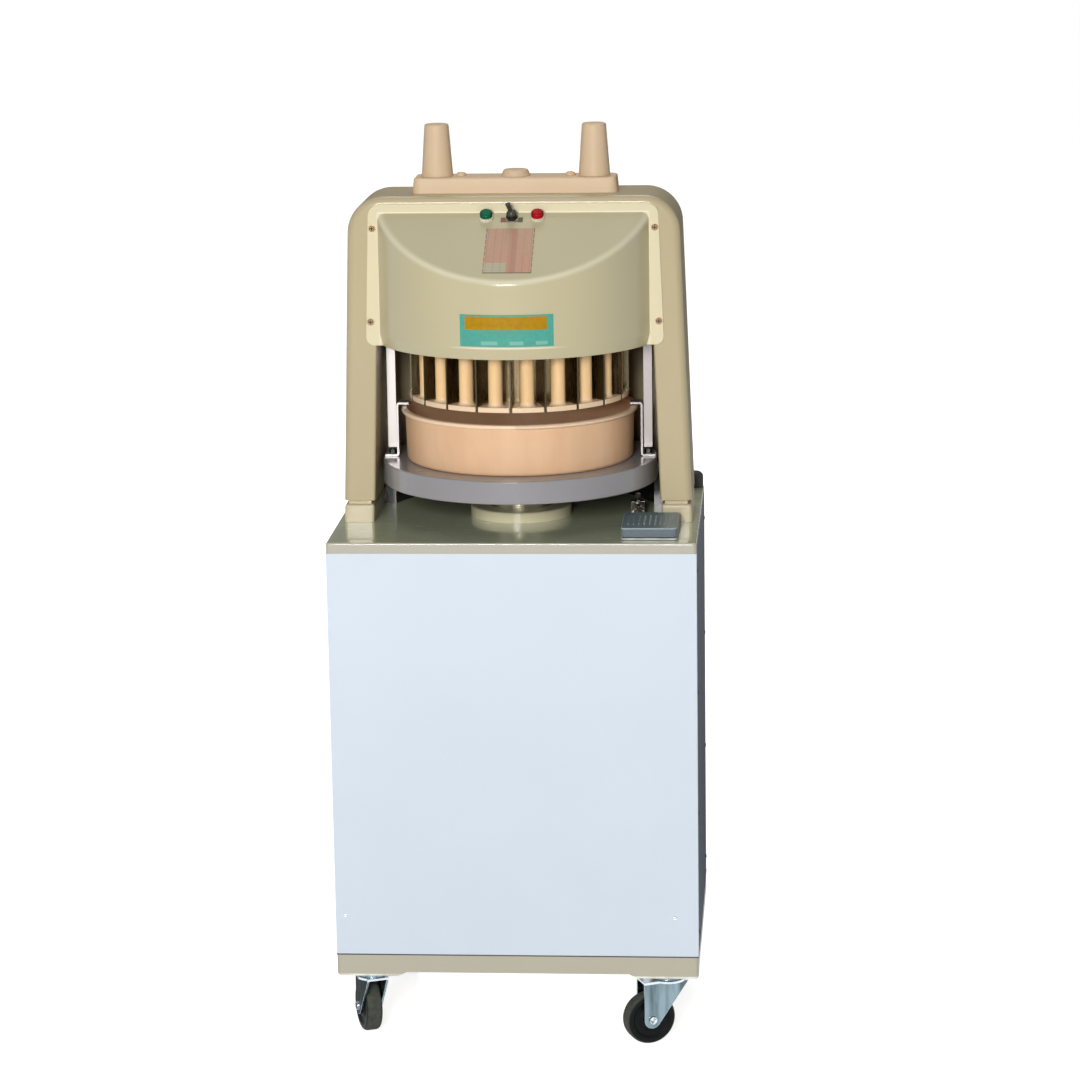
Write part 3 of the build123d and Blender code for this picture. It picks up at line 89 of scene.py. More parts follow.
# Painted highlights on the cover's enamel, as pairs from where a pale line ends to where it is full: the
# front crease and the flange's root; then the levels over which the primer inside darkens into painted shade
CREASE_LEVEL = WORKTOP + 0.2746
CREASE_WIDTH = (0.0015, 0.0005)
CREASE_SIDES = (0.085, 0.045)
CREASE_SHARE = 0.75
FOLD_SHARE = 0.42
ROOT_LEVEL = SLOPE_ORIGIN.z - 0.0006
ROOT_SIDE = math.sqrt(COVER_RADIUS ** 2 - FLANGE_FACE ** 2)
ROOT_TOP_WIDTH = (0.0018, 0.0008)
ROOT_SIDE_WIDTH = (0.0018, 0.0006)
ROOT_SHARE = 0.7
SHADED_PRIMER_LEVELS = (WORKTOP + 0.13, WORKTOP + 0.07)

# Inward faces: the place across times the direction across of an arch's face, where painted shade darkens the
# arch, and the reach times the direction outwards of a cover's face
ARCH_INSIDE = (-0.12, -0.17)
COVER_INSIDE = (-0.0005, -0.004)

# Lower lip of the base frame, with a painted highlight between these levels
BASE_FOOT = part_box("base_frame")[0].z
LIP_HIGHLIGHT_LEVELS = (BASE_FOOT + 0.0036, BASE_FOOT + 0.0024)

# Rim of the pan, which takes a painted highlight between these levels and reaches
PAN_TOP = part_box("pan")[1].z
PAN_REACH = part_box("pan")[1].x
RIM_LEVELS = (PAN_TOP - 0.0075, PAN_TOP - 0.0055)
RIM_REACH = (PAN_REACH - 0.012, PAN_REACH - 0.010)

# Knives: how far in they turn pale, a painted reflection, and how far out their dark edges begin, painted
# shade
BLADE_REACH = max(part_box("knife_set")[1].x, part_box("knife_set")[1].y)
BLADE_DEEP = (BLADE_REACH - 0.004, BLADE_REACH - 0.02)
BLADE_EDGE = (BLADE_REACH - 0.0012, BLADE_REACH - 0.0004)

# Presser blocks: the levels between which a stem pales to its foot
BLOCK_FOOT = WORKTOP + 0.183
BLOCK_PALING = (BLOCK_FOOT + 0.010, BLOCK_FOOT - 0.001)

# Places across of the left and right side bars, between which the bars go from bright to dim, painted light
BAR_SIDE = 0.2

# Name plate on the front of the cover, bare apart from its bar and its empty fields
NAME_PLATE_SIDES = (-0.0654, 0.0642)
NAME_PLATE_LEVELS = (WORKTOP + 0.2770, WORKTOP + 0.3216)
NAME_BAR_SIDES = (-0.0586, 0.0556)
NAME_BAR_LEVELS = (WORKTOP + 0.3006, WORKTOP + 0.3190)
FIELD_LEVELS = (WORKTOP + 0.2796, WORKTOP + 0.2846)
FIELD_SIDES = ((-0.0360, -0.0130), (0.0040, 0.0230), (0.0400, 0.0560))
NAME_PLATE_STEPS = 25

# Ruled chart on the slope, measured down the slope from the flange; a line's width is a share of its pitch
CHART_HALF = 0.034
CHART_DROPS = (0.039, 0.139)
DEEP_COLUMN_SIDE = 0.006
DEEP_COLUMN_WIDTH = (0.006, 0.002)
ROW_PITCH, ROW_WIDTH = 0.0044, 0.3
CORNER_SIDE = -0.002
CORNER_DROP = CHART_DROPS[1] - 0.022
CORNER_PITCH, CORNER_WIDTH = 0.0055, 0.2
COLUMN_START = 1.0
COLUMN_PITCH, COLUMN_WIDTH = 0.0102, 0.08
DASH_PITCH, DASH_WIDTH = 0.013, 0.72
BORDER_WIDTH = 0.0011
FOOT_LINE_WIDTH = 0.0014

# Legend plate under the toggle
LEGEND_HALF = 0.0155
LEGEND_DROPS = (0.0140, 0.0245)
LEGEND_END = 0.0062
LEGEND_ROOM = 0.0004
LEGEND_STEPS = 33

# Cabinet panels: their seam over the base, small fixings low on the front and rivets round the back
PANEL_HALF_WIDTH = 0.26
PANEL_HALF_DEPTH = 0.205
PANEL_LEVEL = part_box("front_panel")[0].z
PANEL_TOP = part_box("front_panel")[1].z
SEAM_HEIGHT = 0.0016
FIXING_LEVEL = PANEL_LEVEL + 0.058
FIXING_SIDES = (-0.246, 0.226)
FIXING_RADIUS = 0.0032
RIVET_RADIUS = 0.0034
RIVET_INSET = 0.009
RIVET_MARGIN = 0.03
RIVET_ROWS = 4
RIVET_STEPS = 20

# A rivet's profile: distance from its middle and rise over the sheet, as shares of its radius
RIVET_PROFILE = ((1.0, 0.0), (1.0, 0.10), (0.86, 0.28), (0.52, 0.40), (0.30, 0.42), (0.24, 0.24))

# Cover screws: where their heads are, and the cross recess in each
SCREW_LEVELS = (WORKTOP + 0.425, WORKTOP + 0.292)
SCREW_SIDES = (0.19976, 0.20468)
SCREW_HEAD_RADIUS = 0.0043
RECESS_REACH = 0.0026
RECESS_HALF_WIDTH = 0.0006
RECESS_DEPTH = 0.0008

# Foot switch: depth of the tread ribs' pale tops and how far from the middle they reach, a painted highlight,
# and the bright band on its foot as shares of the foot's height, a painted highlight
RIB_DEPTHS = (0.0009, 0.0002)
RIB_GLINT_SPREAD = (0.018, 0.007)
BAND_BEGIN = (0.06, 0.12)
BAND_END = (0.46, 0.38)

# Castors: radius of the axle head's painted glints, drop of the fork's crown that takes a painted highlight,
# and depth of the dusty tread; the front forks take darker copies of the zinc, painted shade
AXLE_HEAD = (0.0064, 0.0050)
CROWN_DROPS = (0.0042, 0.0030)
TREAD_DEPTHS = (0.0034, 0.0010)
FORK_TONES = {"front_left": 0.9, "front_right": 0.85}

# How far a surface faces upwards where a change of tone begins and where it is full: painted highlights on
# the cover's fold and the treadle's edge, painted light on the worktop's and treadle's tops
FOLD_TILTS = ((0.02, 0.4), (0.85, 0.55))
WORKTOP_TILT = (0.75, 0.97)
TREADLE_TILT = (0.6, 0.95)
TREADLE_EDGE_TILTS = ((0.2, 0.4), (0.95, 0.85))

# Where a lens begins to darken with painted shade and where it is dark, as shares of its half width
LENS_SIDES = (0.5, 0.95)

# Sockets of the mix node for colours
MIX_FACTOR, MIX_FIRST, MIX_SECOND = 0, 6, 7
MIX_RESULT = 2

# Values shared by the finishes: where most of a noise lies, the range of resin's flow marks, how far a
# rounded normal bends at an edge, and features per metre along each axis of a grain
NOISE_RANGE = (0.3, 0.7)
FLOW_RANGE = (0.3, 0.75)
EDGE_BEND = (0.98, 0.80)
BEVEL_SAMPLES = 4
EDGE_RADIUS = 0.0012
COAT_ROUGHNESS = 0.12
STEEL_SPREAD = 0.08
STEEL_DARK = 0.86
LEVEL_GRAIN = (40.0, 40.0, 900.0)
TURNED_GRAIN = (20.0, 20.0, 1200.0)
BLADE_GRAIN = (300.0, 300.0, 30.0)
SCUFF_GRAIN = (30.0, 260.0, 30.0)
FORK_GRAIN = (48.0, 48.0, 9.0)
FLOW_GRAIN = (26.0, 26.0, 8.0)
STEM_GRAIN = (60.0, 60.0, 14.0)
CHART_GRAIN = (150.0, 7.0, 7.0)


def colour(red, green, blue):
    """Linear colour from display values between 0 and 255."""
    linear = []
    for value in (red, green, blue):
        share = value / 255
        linear.append(share / 12.92 if share <= 0.04045 else ((share + 0.055) / 1.055) ** 2.4)
    return (*linear, 1.0)


def shade(base, factor):
    """The same colour, lighter or darker."""
    return (*[min(1.0, channel * factor) for channel in base[:3]], 1.0)


class Graph:
    """A node tree with short ways to add to it."""

    def __init__(self, tree):
        self.tree = tree

    def feed(self, node, inputs):
        """Links outputs to a node's inputs, or sets an input where its value is a constant."""
        for socket, value in inputs.items():
            if isinstance(value, bpy.types.NodeSocket):
                self.tree.links.new(value, node.inputs[socket])
            else:
                node.inputs[socket].default_value = value

    def node(self, kind, inputs=None, **settings):
        """A new node's outputs, once its properties are set and its inputs are fed."""
        made = self.tree.nodes.new(kind)
        for name, value in settings.items():
            setattr(made, name, value)
        self.feed(made, inputs or {})
        return made.outputs

    def remap(self, value, low, high, to_low=0.0, to_high=1.0):
        """A value moved from one range to another, held at its ends."""
        limits = {"From Min": low, "From Max": high, "To Min": to_low, "To Max": to_high}
        return self.node("ShaderNodeMapRange", {"Value": value, **limits}, clamp=True)["Result"]

    def math(self, operation, first, second=0.0):
        """One sum of two values."""
        return self.node("ShaderNodeMath", {0: first, 1: second}, operation=operation)["Value"]

    def times(self, first, second):
        """Product of two values."""
        return self.math("MULTIPLY", first, second)

    def larger(self, first, second):
        """The larger of two values."""
        return self.math("MAXIMUM", first, second)

    def below(self, value, limit):
        """1 where a value is under a limit."""
        return self.math("LESS_THAN", value, limit)

    def above(self, value, limit):
        """1 where a value is over a limit."""
        return self.math("GREATER_THAN", value, limit)

    def size(self, value):
        """A value without its sign."""
        return self.math("ABSOLUTE", value)

    def off(self, value, level):
        """How far a value is from a level, to either side."""
        return self.size(self.math("SUBTRACT", value, level))

    def within(self, value, limits):
        """1 between two limits."""
        return self.times(self.above(value, limits[0]), self.below(value, limits[1]))

    def lines(self, value, pitch, width):
        """1 on evenly spaced lines, whose width is a share of their pitch."""
        return self.below(self.math("FRACT", self.math("DIVIDE", value, pitch)), width)

    def length(self, vector):
        """Length of a vector."""
        return self.node("ShaderNodeVectorMath", {0: vector}, operation="LENGTH")["Value"]


class Finish(Graph):
    """A node material that grows step by step around one Principled shader."""

    def __init__(self, name, base, roughness, metallic=0.0, specular=0.5, coat=0.0, coat_roughness=0.03):
        self.material = bpy.data.materials.new(name)
        self.material.use_nodes = True
        self.material.diffuse_color = base
        super().__init__(self.material.node_tree)
        self.shader = self.tree.nodes["Principled BSDF"]
        self.paint(base)
        self.drive("Roughness", roughness)
        self.drive("Metallic", metallic)
        self.drive("Specular IOR Level", specular)
        self.drive("Coat Weight", coat)
        self.drive("Coat Roughness", coat_roughness)
        self.place = self.node("ShaderNodeTexCoord")["Object"]

    def drive(self, socket, value):
        """Links an output to the shader, or sets a constant on the shader itself."""
        self.feed(self.shader, {socket: value})

    def paint(self, value):
        """Gives the shader its colour."""
        self.drive("Base Color", value)

    def stretched(self, factors):
        """The object's coordinates, scaled along each axis."""
        return self.node("ShaderNodeMapping", {"Vector": self.place, "Scale": factors})["Vector"]

    def outwards(self):
        """Level way out to a place from the upright line through the origin."""
        return self.stretched((1.0, 1.0, 0.0))

    def noise(self, scale, detail=3.0, rough=0.55, place=None):
        """Value of a noise whose scale is in features per metre."""
        inputs = {"Vector": place or self.place, "Scale": scale, "Detail": detail, "Roughness": rough}
        return self.node("ShaderNodeTexNoise", inputs)["Fac"]

    def grain(self, factors, detail=4.0, rough=0.6):
        """A noise with its own number of features per metre along each axis."""
        return self.noise(1.0, detail, rough, self.stretched(factors))

    def spread(self, noise, to_low=0.0, to_high=1.0):
        """A noise moved from where most of it lies to another range."""
        return self.remap(noise, *NOISE_RANGE, to_low, to_high)

    def cells(self, scale):
        """Distance from the middle of the nearest cell of a pattern."""
        return self.node("ShaderNodeTexVoronoi", {"Vector": self.place, "Scale": scale})["Distance"]

    def axis(self, name, source=None):
        """One coordinate of a vector."""
        return self.node("ShaderNodeSeparateXYZ", {"Vector": source or self.place})[name]

    def normal(self):
        """Direction that a surface faces."""
        return self.node("ShaderNodeNewGeometry")["Normal"]

    def facing_up(self):
        """How far a surface faces upwards, from -1 to 1."""
        return self.axis("Z", self.normal())

    def dot(self, first, second):
        """How far two directions agree."""
        return self.node("ShaderNodeVectorMath", {0: first, 1: second}, operation="DOT_PRODUCT")["Value"]

    def distance_from_line(self, centre, way):
        """Distance from a line through a point."""
        offset = self.node("ShaderNodeVectorMath", {0: self.place, 1: centre}, operation="SUBTRACT")
        arm = {0: offset["Vector"], 1: way}
        return self.length(self.node("ShaderNodeVectorMath", arm, operation="CROSS_PRODUCT")["Vector"])

    def blend(self, factor, first, second):
        """Colour between two colours."""
        inputs = {MIX_FACTOR: factor, MIX_FIRST: first, MIX_SECOND: second}
        return self.node("ShaderNodeMix", inputs, data_type="RGBA")[MIX_RESULT]

    def tones(self, factor, base, first, second):
        """A colour that varies between two shades of itself."""
        return self.blend(factor, shade(base, first), shade(base, second))

    def mottled(self, base, first, second, scale, detail=3.0):
        """A colour in patches of two shades of itself."""
        return self.tones(self.spread(self.noise(scale, detail)), base, first, second)

    def soft_edges(self, radius):
        """Normal that rounds sharp edges by a small radius."""
        return self.node("ShaderNodeBevel", {"Radius": radius}, samples=BEVEL_SAMPLES)["Normal"]

    def edge_mask(self, radius):
        """1 on sharp edges, 0 on open faces."""
        return self.remap(self.dot(self.soft_edges(radius), self.normal()), *EDGE_BEND)

    def bump(self, height, depth, strength=0.5, edge=None):
        """Fine relief from a height value, on edges that are rounded where a radius is given."""
        inputs = {"Height": height, "Distance": depth, "Strength": strength}
        if edge:
            inputs["Normal"] = self.soft_edges(edge)
        self.drive("Normal", self.node("ShaderNodeBump", inputs)["Normal"])


def lay_enamel(finish, painted, base, roughness, edge=EDGE_RADIUS, edge_paling=0.3):
    """An enamel's colour with paler edges, uneven gloss and slight orange peel: the paler edges are rubbed
    wear, and where strong, as on the column feet, a painted highlight.
    """
    patches = finish.remap(finish.noise(90.0), 0.42, 0.62)
    # Paler edges: rubbed wear, and a painted highlight where they are strongly paled, as on the column feet
    patchy_share = finish.times(finish.times(finish.edge_mask(edge), patches), edge_paling)
    finish.paint(finish.blend(patchy_share, painted, shade(base, 1.3)))
    gloss = finish.noise(14.0, detail=5.0)
    finish.drive("Roughness", finish.spread(gloss, roughness - 0.04, roughness + 0.05))
    finish.bump(finish.noise(420.0, detail=2.0), depth=0.00003, edge=edge)


def enamel(name, base, roughness=0.38, coat=0.45, inner_shade=None, lip_highlight=None, edge=EDGE_RADIUS, edge_paling=0.3):
    """Enamel on metal whose tone barely varies, with painted shade on inward faces and a painted highlight on
    a lower lip, where given.
    """
    finish = Finish(name, base, roughness, specular=0.2, coat=coat, coat_roughness=COAT_ROUGHNESS)
    painted = finish.mottled(base, 0.97, 1.01, scale=3.0, detail=2.0)
    if inner_shade:
        # Painted shade on the faces that turn inwards
        inwards = finish.times(finish.axis("X"), finish.axis("X", finish.normal()))
        painted = finish.blend(finish.remap(inwards, *ARCH_INSIDE), painted, inner_shade)
    if lip_highlight:
        # Painted highlight along the lower lip, broken into patches
        patches = finish.remap(finish.noise(40.0), 0.35, 0.6, 0.35, 1.0)
        lip_glint = finish.times(finish.remap(finish.axis("Z"), *LIP_HIGHLIGHT_LEVELS), patches)
        painted = finish.blend(lip_glint, painted, lip_highlight)
    lay_enamel(finish, painted, base, roughness, edge, edge_paling)
    return finish


def cover_enamel(name, base, flange, pale, pale_primer, shaded_primer, roughness=0.34):
    """Enamel of the head covers: paler on the flange, painted highlights on the folds and the flange's root,
    primer inside that darkens low down as painted shade.
    """
    finish = Finish(name, base, roughness, specular=0.25, coat=0.35, coat_roughness=COAT_ROUGHNESS)
    across = finish.size(finish.axis("X"))
    along = finish.axis("Y")
    height = finish.axis("Z")
    up = finish.facing_up()
    bulge = finish.mottled(base, 0.98, 1.02, scale=3.0, detail=2.0)
    # Painted highlight: a pale line along the front crease under the name plate, fading to the sides
    crease = finish.remap(finish.off(height, CREASE_LEVEL), *CREASE_WIDTH)
    crease = finish.times(crease, finish.remap(across, *CREASE_SIDES))
    crease = finish.times(crease, finish.below(along, 0.0))
    # Painted highlight: the fold between slope and drum paled where it faces partly upwards
    fold = finish.times(*[finish.remap(up, *tilt) for tilt in FOLD_TILTS])
    lifted = finish.larger(finish.times(crease, CREASE_SHARE), finish.times(fold, FOLD_SHARE))
    bulge = finish.blend(lifted, bulge, pale)
    # Painted highlight: pale lines along the flange's root, across the top and down each side
    top_line = finish.remap(finish.off(height, ROOT_LEVEL), *ROOT_TOP_WIDTH)
    top_line = finish.times(top_line, finish.below(across, ROOT_SIDE))
    side_line = finish.remap(finish.off(across, ROOT_SIDE), *ROOT_SIDE_WIDTH, 0.0, 0.5)
    side_line = finish.times(side_line, finish.below(height, ROOT_LEVEL))
    root = finish.times(finish.larger(top_line, side_line), ROOT_SHARE)
    on_flange = finish.remap(finish.size(along), FLANGE_FACE, FLANGE_FACE - FLANGE_SKIN)
    painted = finish.blend(on_flange, bulge, finish.blend(root, flange, pale))
    inside = finish.remap(finish.dot(finish.outwards(), finish.normal()), *COVER_INSIDE)
    # Painted shade: the primer inside darkens towards its lower edge
    primer = finish.blend(finish.remap(height, *SHADED_PRIMER_LEVELS), pale_primer, shaded_primer)
    lay_enamel(finish, finish.blend(inside, painted, primer), base, roughness)
    return finish


def worktop_enamel(name, edge_base, top_base):
    """Gloss enamel in two tones by the way a face points, olive on its upper face and greyer on its edges,
    painted light and reflection.
    """
    finish = Finish(name, edge_base, 0.2, coat=1.0)
    up = finish.remap(finish.facing_up(), *WORKTOP_TILT)
    top = finish.mottled(top_base, 0.96, 1.04, scale=9.0, detail=5.0)
    finish.paint(finish.blend(up, edge_base, top))
    finish.drive("Roughness", finish.remap(finish.grain(SCUFF_GRAIN), 0.35, 0.7, 0.23, 0.28))
    finish.bump(finish.noise(300.0, detail=2.0), depth=0.00003, strength=0.2, edge=EDGE_RADIUS)
    return finish


def sheet_paint(name, base, roughness=0.34):
    """Baked paint on sheet steel: nearly even, with faint waviness of the sheet."""
    finish = Finish(name, base, roughness)
    finish.paint(finish.mottled(base, 0.975, 1.02, scale=3.0))
    gloss = finish.noise(24.0, detail=4.0)
    finish.drive("Roughness", finish.spread(gloss, roughness - 0.05, roughness + 0.07))
    waves = finish.times(finish.noise(5.0, detail=1.0), 9.0)
    relief = finish.math("ADD", waves, finish.noise(650.0, detail=1.0))
    finish.bump(relief, depth=0.00003, edge=0.0009)
    return finish


def grained_steel(name, base, roughness, factors):
    """A steel with a fine grain in its gloss and relief but no tones yet, and that grain."""
    finish = Finish(name, base, roughness, metallic=1.0)
    grain_lines = finish.grain(factors)
    finish.drive("Roughness", finish.spread(grain_lines, roughness - STEEL_SPREAD, roughness + STEEL_SPREAD))
    finish.bump(grain_lines, depth=0.00002, strength=0.4, edge=0.0006)
    return finish, grain_lines


def steel(name, base, roughness, factors=LEVEL_GRAIN):
    """Bare or plated steel with a fine grain."""
    finish, grain_lines = grained_steel(name, base, roughness, factors)
    finish.paint(finish.tones(grain_lines, base, STEEL_DARK, 1.06))
    return finish


def bar_steel(name, base, dim_tone):
    """Plated bar steel, brighter on the left of the machine and dimmer on the right, painted light."""
    finish, grain_lines = grained_steel(name, base, 0.42, LEVEL_GRAIN)
    # Painted light: the bars dim from left to right
    dim_share = finish.remap(finish.axis("X"), -BAR_SIDE, BAR_SIDE)
    plated = finish.blend(dim_share, base, dim_tone)
    shaded = finish.blend(dim_share, shade(base, STEEL_DARK), shade(dim_tone, STEEL_DARK))
    finish.paint(finish.blend(grain_lines, shaded, plated))
    return finish


def blade_steel(name, base, deep, edge):
    """Knife steel, paler deep in the head as a painted reflection, and with dark edges round the outside as
    painted shade.
    """
    finish, grain_lines = grained_steel(name, base, 0.3, BLADE_GRAIN)
    # Painted reflection deep in the head and painted shade on the outer edges
    reach = finish.length(finish.outwards())
    face = finish.blend(finish.remap(reach, *BLADE_DEEP), base, deep)
    blade = finish.blend(grain_lines, shade(base, 0.8), face)
    finish.paint(finish.blend(finish.remap(reach, *BLADE_EDGE), blade, edge))
    return finish


def zinc(name, base):
    """Bright zinc plating: cloudy patches with a cold tint."""
    finish = Finish(name, base, 0.22, metallic=1.0)
    clouds = finish.noise(70.0, detail=5.0, rough=0.6)
    finish.paint(finish.tones(finish.spread(clouds), base, 0.72, 1.0))
    finish.drive("Roughness", finish.spread(clouds, 0.15, 0.32))
    finish.bump(finish.noise(500.0, detail=2.0), depth=0.00002, edge=0.0008)
    return finish


def fork_zinc(name, base, dark, bright, centre, axle):
    """Zinc on a castor's fork: upright bands, and painted highlights on its edges, its crown and its axle
    head.
    """
    finish = Finish(name, base, 0.22, metallic=1.0)
    bands = finish.grain(FORK_GRAIN, detail=3.0, rough=0.5)
    plated = finish.blend(finish.remap(bands, 0.36, 0.62), dark, base)
    # Painted highlights on the axle head, the edges and the crown
    head = finish.remap(finish.distance_from_line(centre, axle), *AXLE_HEAD)
    glints = finish.times(head, finish.remap(finish.noise(300.0), 0.4, 0.6))
    painted_highlight = finish.larger(glints, finish.times(finish.edge_mask(0.0011), 0.8))
    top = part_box(name)[1].z
    crown = finish.remap(finish.axis("Z"), *[top - drop for drop in CROWN_DROPS], 0.0, 0.85)
    finish.paint(finish.blend(finish.larger(painted_highlight, crown), plated, bright))
    finish.drive("Roughness", finish.spread(finish.noise(70.0, detail=5.0, rough=0.6), 0.16, 0.3))
    finish.bump(finish.noise(500.0, detail=2.0), depth=0.00002, edge=0.0009)
    return finish


def clear_resin(name, base, roughness, glow=0.12):
    """Resin that lets a little light in, with uneven gloss and slight relief but no tones yet."""
    finish = Finish(name, base, roughness)
    finish.drive("Subsurface Weight", glow)
    finish.drive("Subsurface Radius", (0.006, 0.0035, 0.002))
    finish.drive("Subsurface Scale", 1.0)
    gloss = finish.noise(120.0, detail=4.0)
    finish.drive("Roughness", finish.spread(gloss, roughness - 0.06, roughness + 0.1))
    finish.bump(finish.noise(260.0), depth=0.00005, edge=0.001)
    return finish


def resin(name, base, dark, roughness, glow=0.12, rim=None):
    """Moulded resin with faint flow marks, and with a painted highlight round the pan's rim where one is
    given.
    """
    finish = clear_resin(name, base, roughness, glow)
    body = finish.blend(finish.remap(finish.grain(FLOW_GRAIN), *FLOW_RANGE), base, dark)
    if rim:
        # Painted highlight on the pan's rim
        on_rim = finish.remap(finish.axis("Z"), *RIM_LEVELS)
        outside = finish.remap(finish.length(finish.outwards()), *RIM_REACH)
        body = finish.blend(finish.times(on_rim, outside), body, rim)
    finish.paint(body)
    return finish


def block_resin(name, stem, foot):
    """Presser resin: amber stems that pale towards their feet."""
    finish = clear_resin(name, stem, 0.38)
    amber = finish.tones(finish.remap(finish.grain(STEM_GRAIN), *FLOW_RANGE), stem, 1.0, 0.88)
    finish.paint(finish.blend(finish.remap(finish.axis("Z"), *BLOCK_PALING), amber, foot))
    return finish


def plain_plastic(name, base, roughness):
    """Moulded plastic or rubber with a fine grain."""
    finish = Finish(name, base, roughness)
    finish.paint(finish.mottled(base, 0.9, 1.12, scale=60.0, detail=4.0))
    finish.bump(finish.noise(600.0, detail=2.0), depth=0.00004, edge=0.0005)
    return finish


def lens(name, base):
    """Coloured lens, bright in its middle and darkened at its sides by painted shade, with a faceted inside.
    """
    low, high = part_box(name)
    middle = (low.x + high.x) / 2
    half_width = (high.x - low.x) / 2
    finish = Finish(name, base, 0.22, specular=0.06, coat=0.08, coat_roughness=0.1)
    finish.drive("Subsurface Weight", 0.1)
    finish.drive("Subsurface Radius", (0.003, 0.003, 0.003))
    facets = finish.cells(420.0)
    lit = finish.tones(finish.remap(facets, 0.1, 0.7), base, 1.25, 0.7)
    # Painted shade darkens the lens towards its sides
    away = finish.off(finish.axis("X"), middle)
    side = finish.remap(away, *[share * half_width for share in LENS_SIDES])
    finish.paint(finish.blend(side, lit, shade(base, 0.25)))
    finish.bump(facets, depth=0.0003, strength=0.3)
    return finish


def casting(name, base, roughness=0.5):
    """Painted rough casting."""
    finish = Finish(name, base, roughness)
    finish.paint(finish.mottled(base, 0.8, 1.15, scale=30.0, detail=5.0))
    finish.bump(finish.noise(220.0, detail=4.0), depth=0.0003, strength=0.6, edge=EDGE_RADIUS)
    return finish


def treadle_paint(name, base, upper, rib_highlight, lip_highlight):
    """Hammered paint with a lighter top than front, painted light, and painted highlights along the middle
    tread ribs and the upper front edge.
    """
    low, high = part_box("treadle")
    middle = (low.x + high.x) / 2
    finish = Finish(name, base, 0.36, specular=0.25)
    hammered = finish.cells(260.0)
    up = finish.facing_up()
    tone = finish.remap(hammered, 0.1, 0.6)
    front_tone = finish.tones(tone, base, 0.92, 1.06)
    upper_tone = finish.tones(tone, upper, 0.9, 1.08)
    # Painted light: the upper face lighter than the front
    painted = finish.blend(finish.remap(up, *TREADLE_TILT), front_tone, upper_tone)
    rib = finish.remap(finish.axis("Z"), *[high.z - depth for depth in RIB_DEPTHS])
    rib_glint_spread = finish.remap(finish.off(finish.axis("X"), middle), *RIB_GLINT_SPREAD, 0.12, 1.0)
    patches = finish.remap(finish.noise(130.0, detail=4.0), 0.35, 0.6)
    painted = finish.blend(finish.times(rib, finish.times(rib_glint_spread, patches)), painted, rib_highlight)
    # Painted highlight along the upper front edge and the edges
    upper_edge = finish.times(*[finish.remap(up, *tilt) for tilt in TREADLE_EDGE_TILTS])
    painted_highlight = finish.larger(upper_edge, finish.edge_mask(0.0014))
    finish.paint(finish.blend(finish.times(painted_highlight, 0.85), painted, lip_highlight))
    finish.bump(hammered, depth=0.0002, strength=0.4, edge=0.001)
    return finish


def foot_base_paint(name, base, bright, dark):
    """Painted foot of the switch with a bright band round its lower half, a painted highlight, above a dark
    strip, a painted shadow.
    """
    low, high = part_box("foot_switch_base")
    rise = high.z - low.z
    finish = Finish(name, base, 0.34, specular=0.3)
    height = finish.axis("Z")
    # Painted shadow at the bottom and a painted highlight in the band above it
    under = finish.remap(height, *[low.z + share * rise for share in BAND_BEGIN])
    over = finish.remap(height, *[low.z + share * rise for share in BAND_END])
    patchy_share = finish.remap(finish.noise(60.0), 0.35, 0.65, 0.55, 1.0)
    band = finish.times(finish.times(under, over), patchy_share)
    finish.paint(finish.blend(band, finish.blend(under, dark, base), bright))
    finish.bump(finish.noise(400.0, detail=2.0), depth=0.00004, edge=0.0006)
    return finish


def speckled_metal(name, base, speck):
    """Dark blued metal with a few bright spots and bright edges."""
    finish = Finish(name, base, 0.32, metallic=1.0)
    spots = finish.remap(finish.noise(260.0), 0.58, 0.66)
    patchy_share = finish.larger(spots, finish.edge_mask(0.0008))
    finish.paint(finish.blend(patchy_share, base, speck))
    finish.drive("Roughness", finish.spread(finish.noise(120.0, detail=4.0), 0.24, 0.42))
    finish.bump(finish.noise(500.0, detail=2.0), depth=0.00003, edge=0.0006)
    return finish


def tyre(name, centre, axle, radius, side, tread):
    """Wheel rubber: black sides and a dusty tread, told apart by the distance from the axle."""
    finish = Finish(name, side, 0.5, specular=0.15)
    distance = finish.distance_from_line(centre, axle)
    rim = finish.remap(distance, *[radius - depth for depth in TREAD_DEPTHS])
    dust = finish.times(rim, finish.remap(finish.noise(150.0, detail=5.0), 0.25, 0.6, 0.55, 1.0))
    finish.paint(finish.blend(dust, side, tread))
    finish.drive("Roughness", finish.remap(dust, 0.0, 1.0, 0.52, 0.75))
    finish.bump(finish.noise(420.0), depth=0.0001, edge=0.0015)
    return finish


def cross_recess_screw(name, washer, head, recess):
    """Plated washer and head, with a cross recess at each screw's middle darkened as painted shade."""
    finish = Finish(name, washer, 0.32, metallic=1.0)
    across = finish.size(finish.axis("X"))
    height = finish.axis("Z")
    crosses = []
    heads = []
    for level, side in zip(SCREW_LEVELS, SCREW_SIDES):
        away = finish.off(across, side)
        rise = finish.off(height, level)
        long_side = finish.larger(away, rise)
        short_side = finish.math("MINIMUM", away, rise)
        in_reach = finish.below(long_side, RECESS_REACH)
        crosses.append(finish.times(in_reach, finish.below(short_side, RECESS_HALF_WIDTH)))
        squared = finish.math("ADD", finish.math("POWER", away, 2.0), finish.math("POWER", rise, 2.0))
        heads.append(finish.below(squared, SCREW_HEAD_RADIUS ** 2))
    cross = finish.math("ADD", *crosses)
    plated = finish.blend(finish.math("ADD", *heads), washer, head)
    finish.paint(finish.blend(cross, plated, recess))
    finish.bump(finish.math("SUBTRACT", 1.0, cross), depth=RECESS_DEPTH, strength=1.0, edge=0.0005)
    return finish


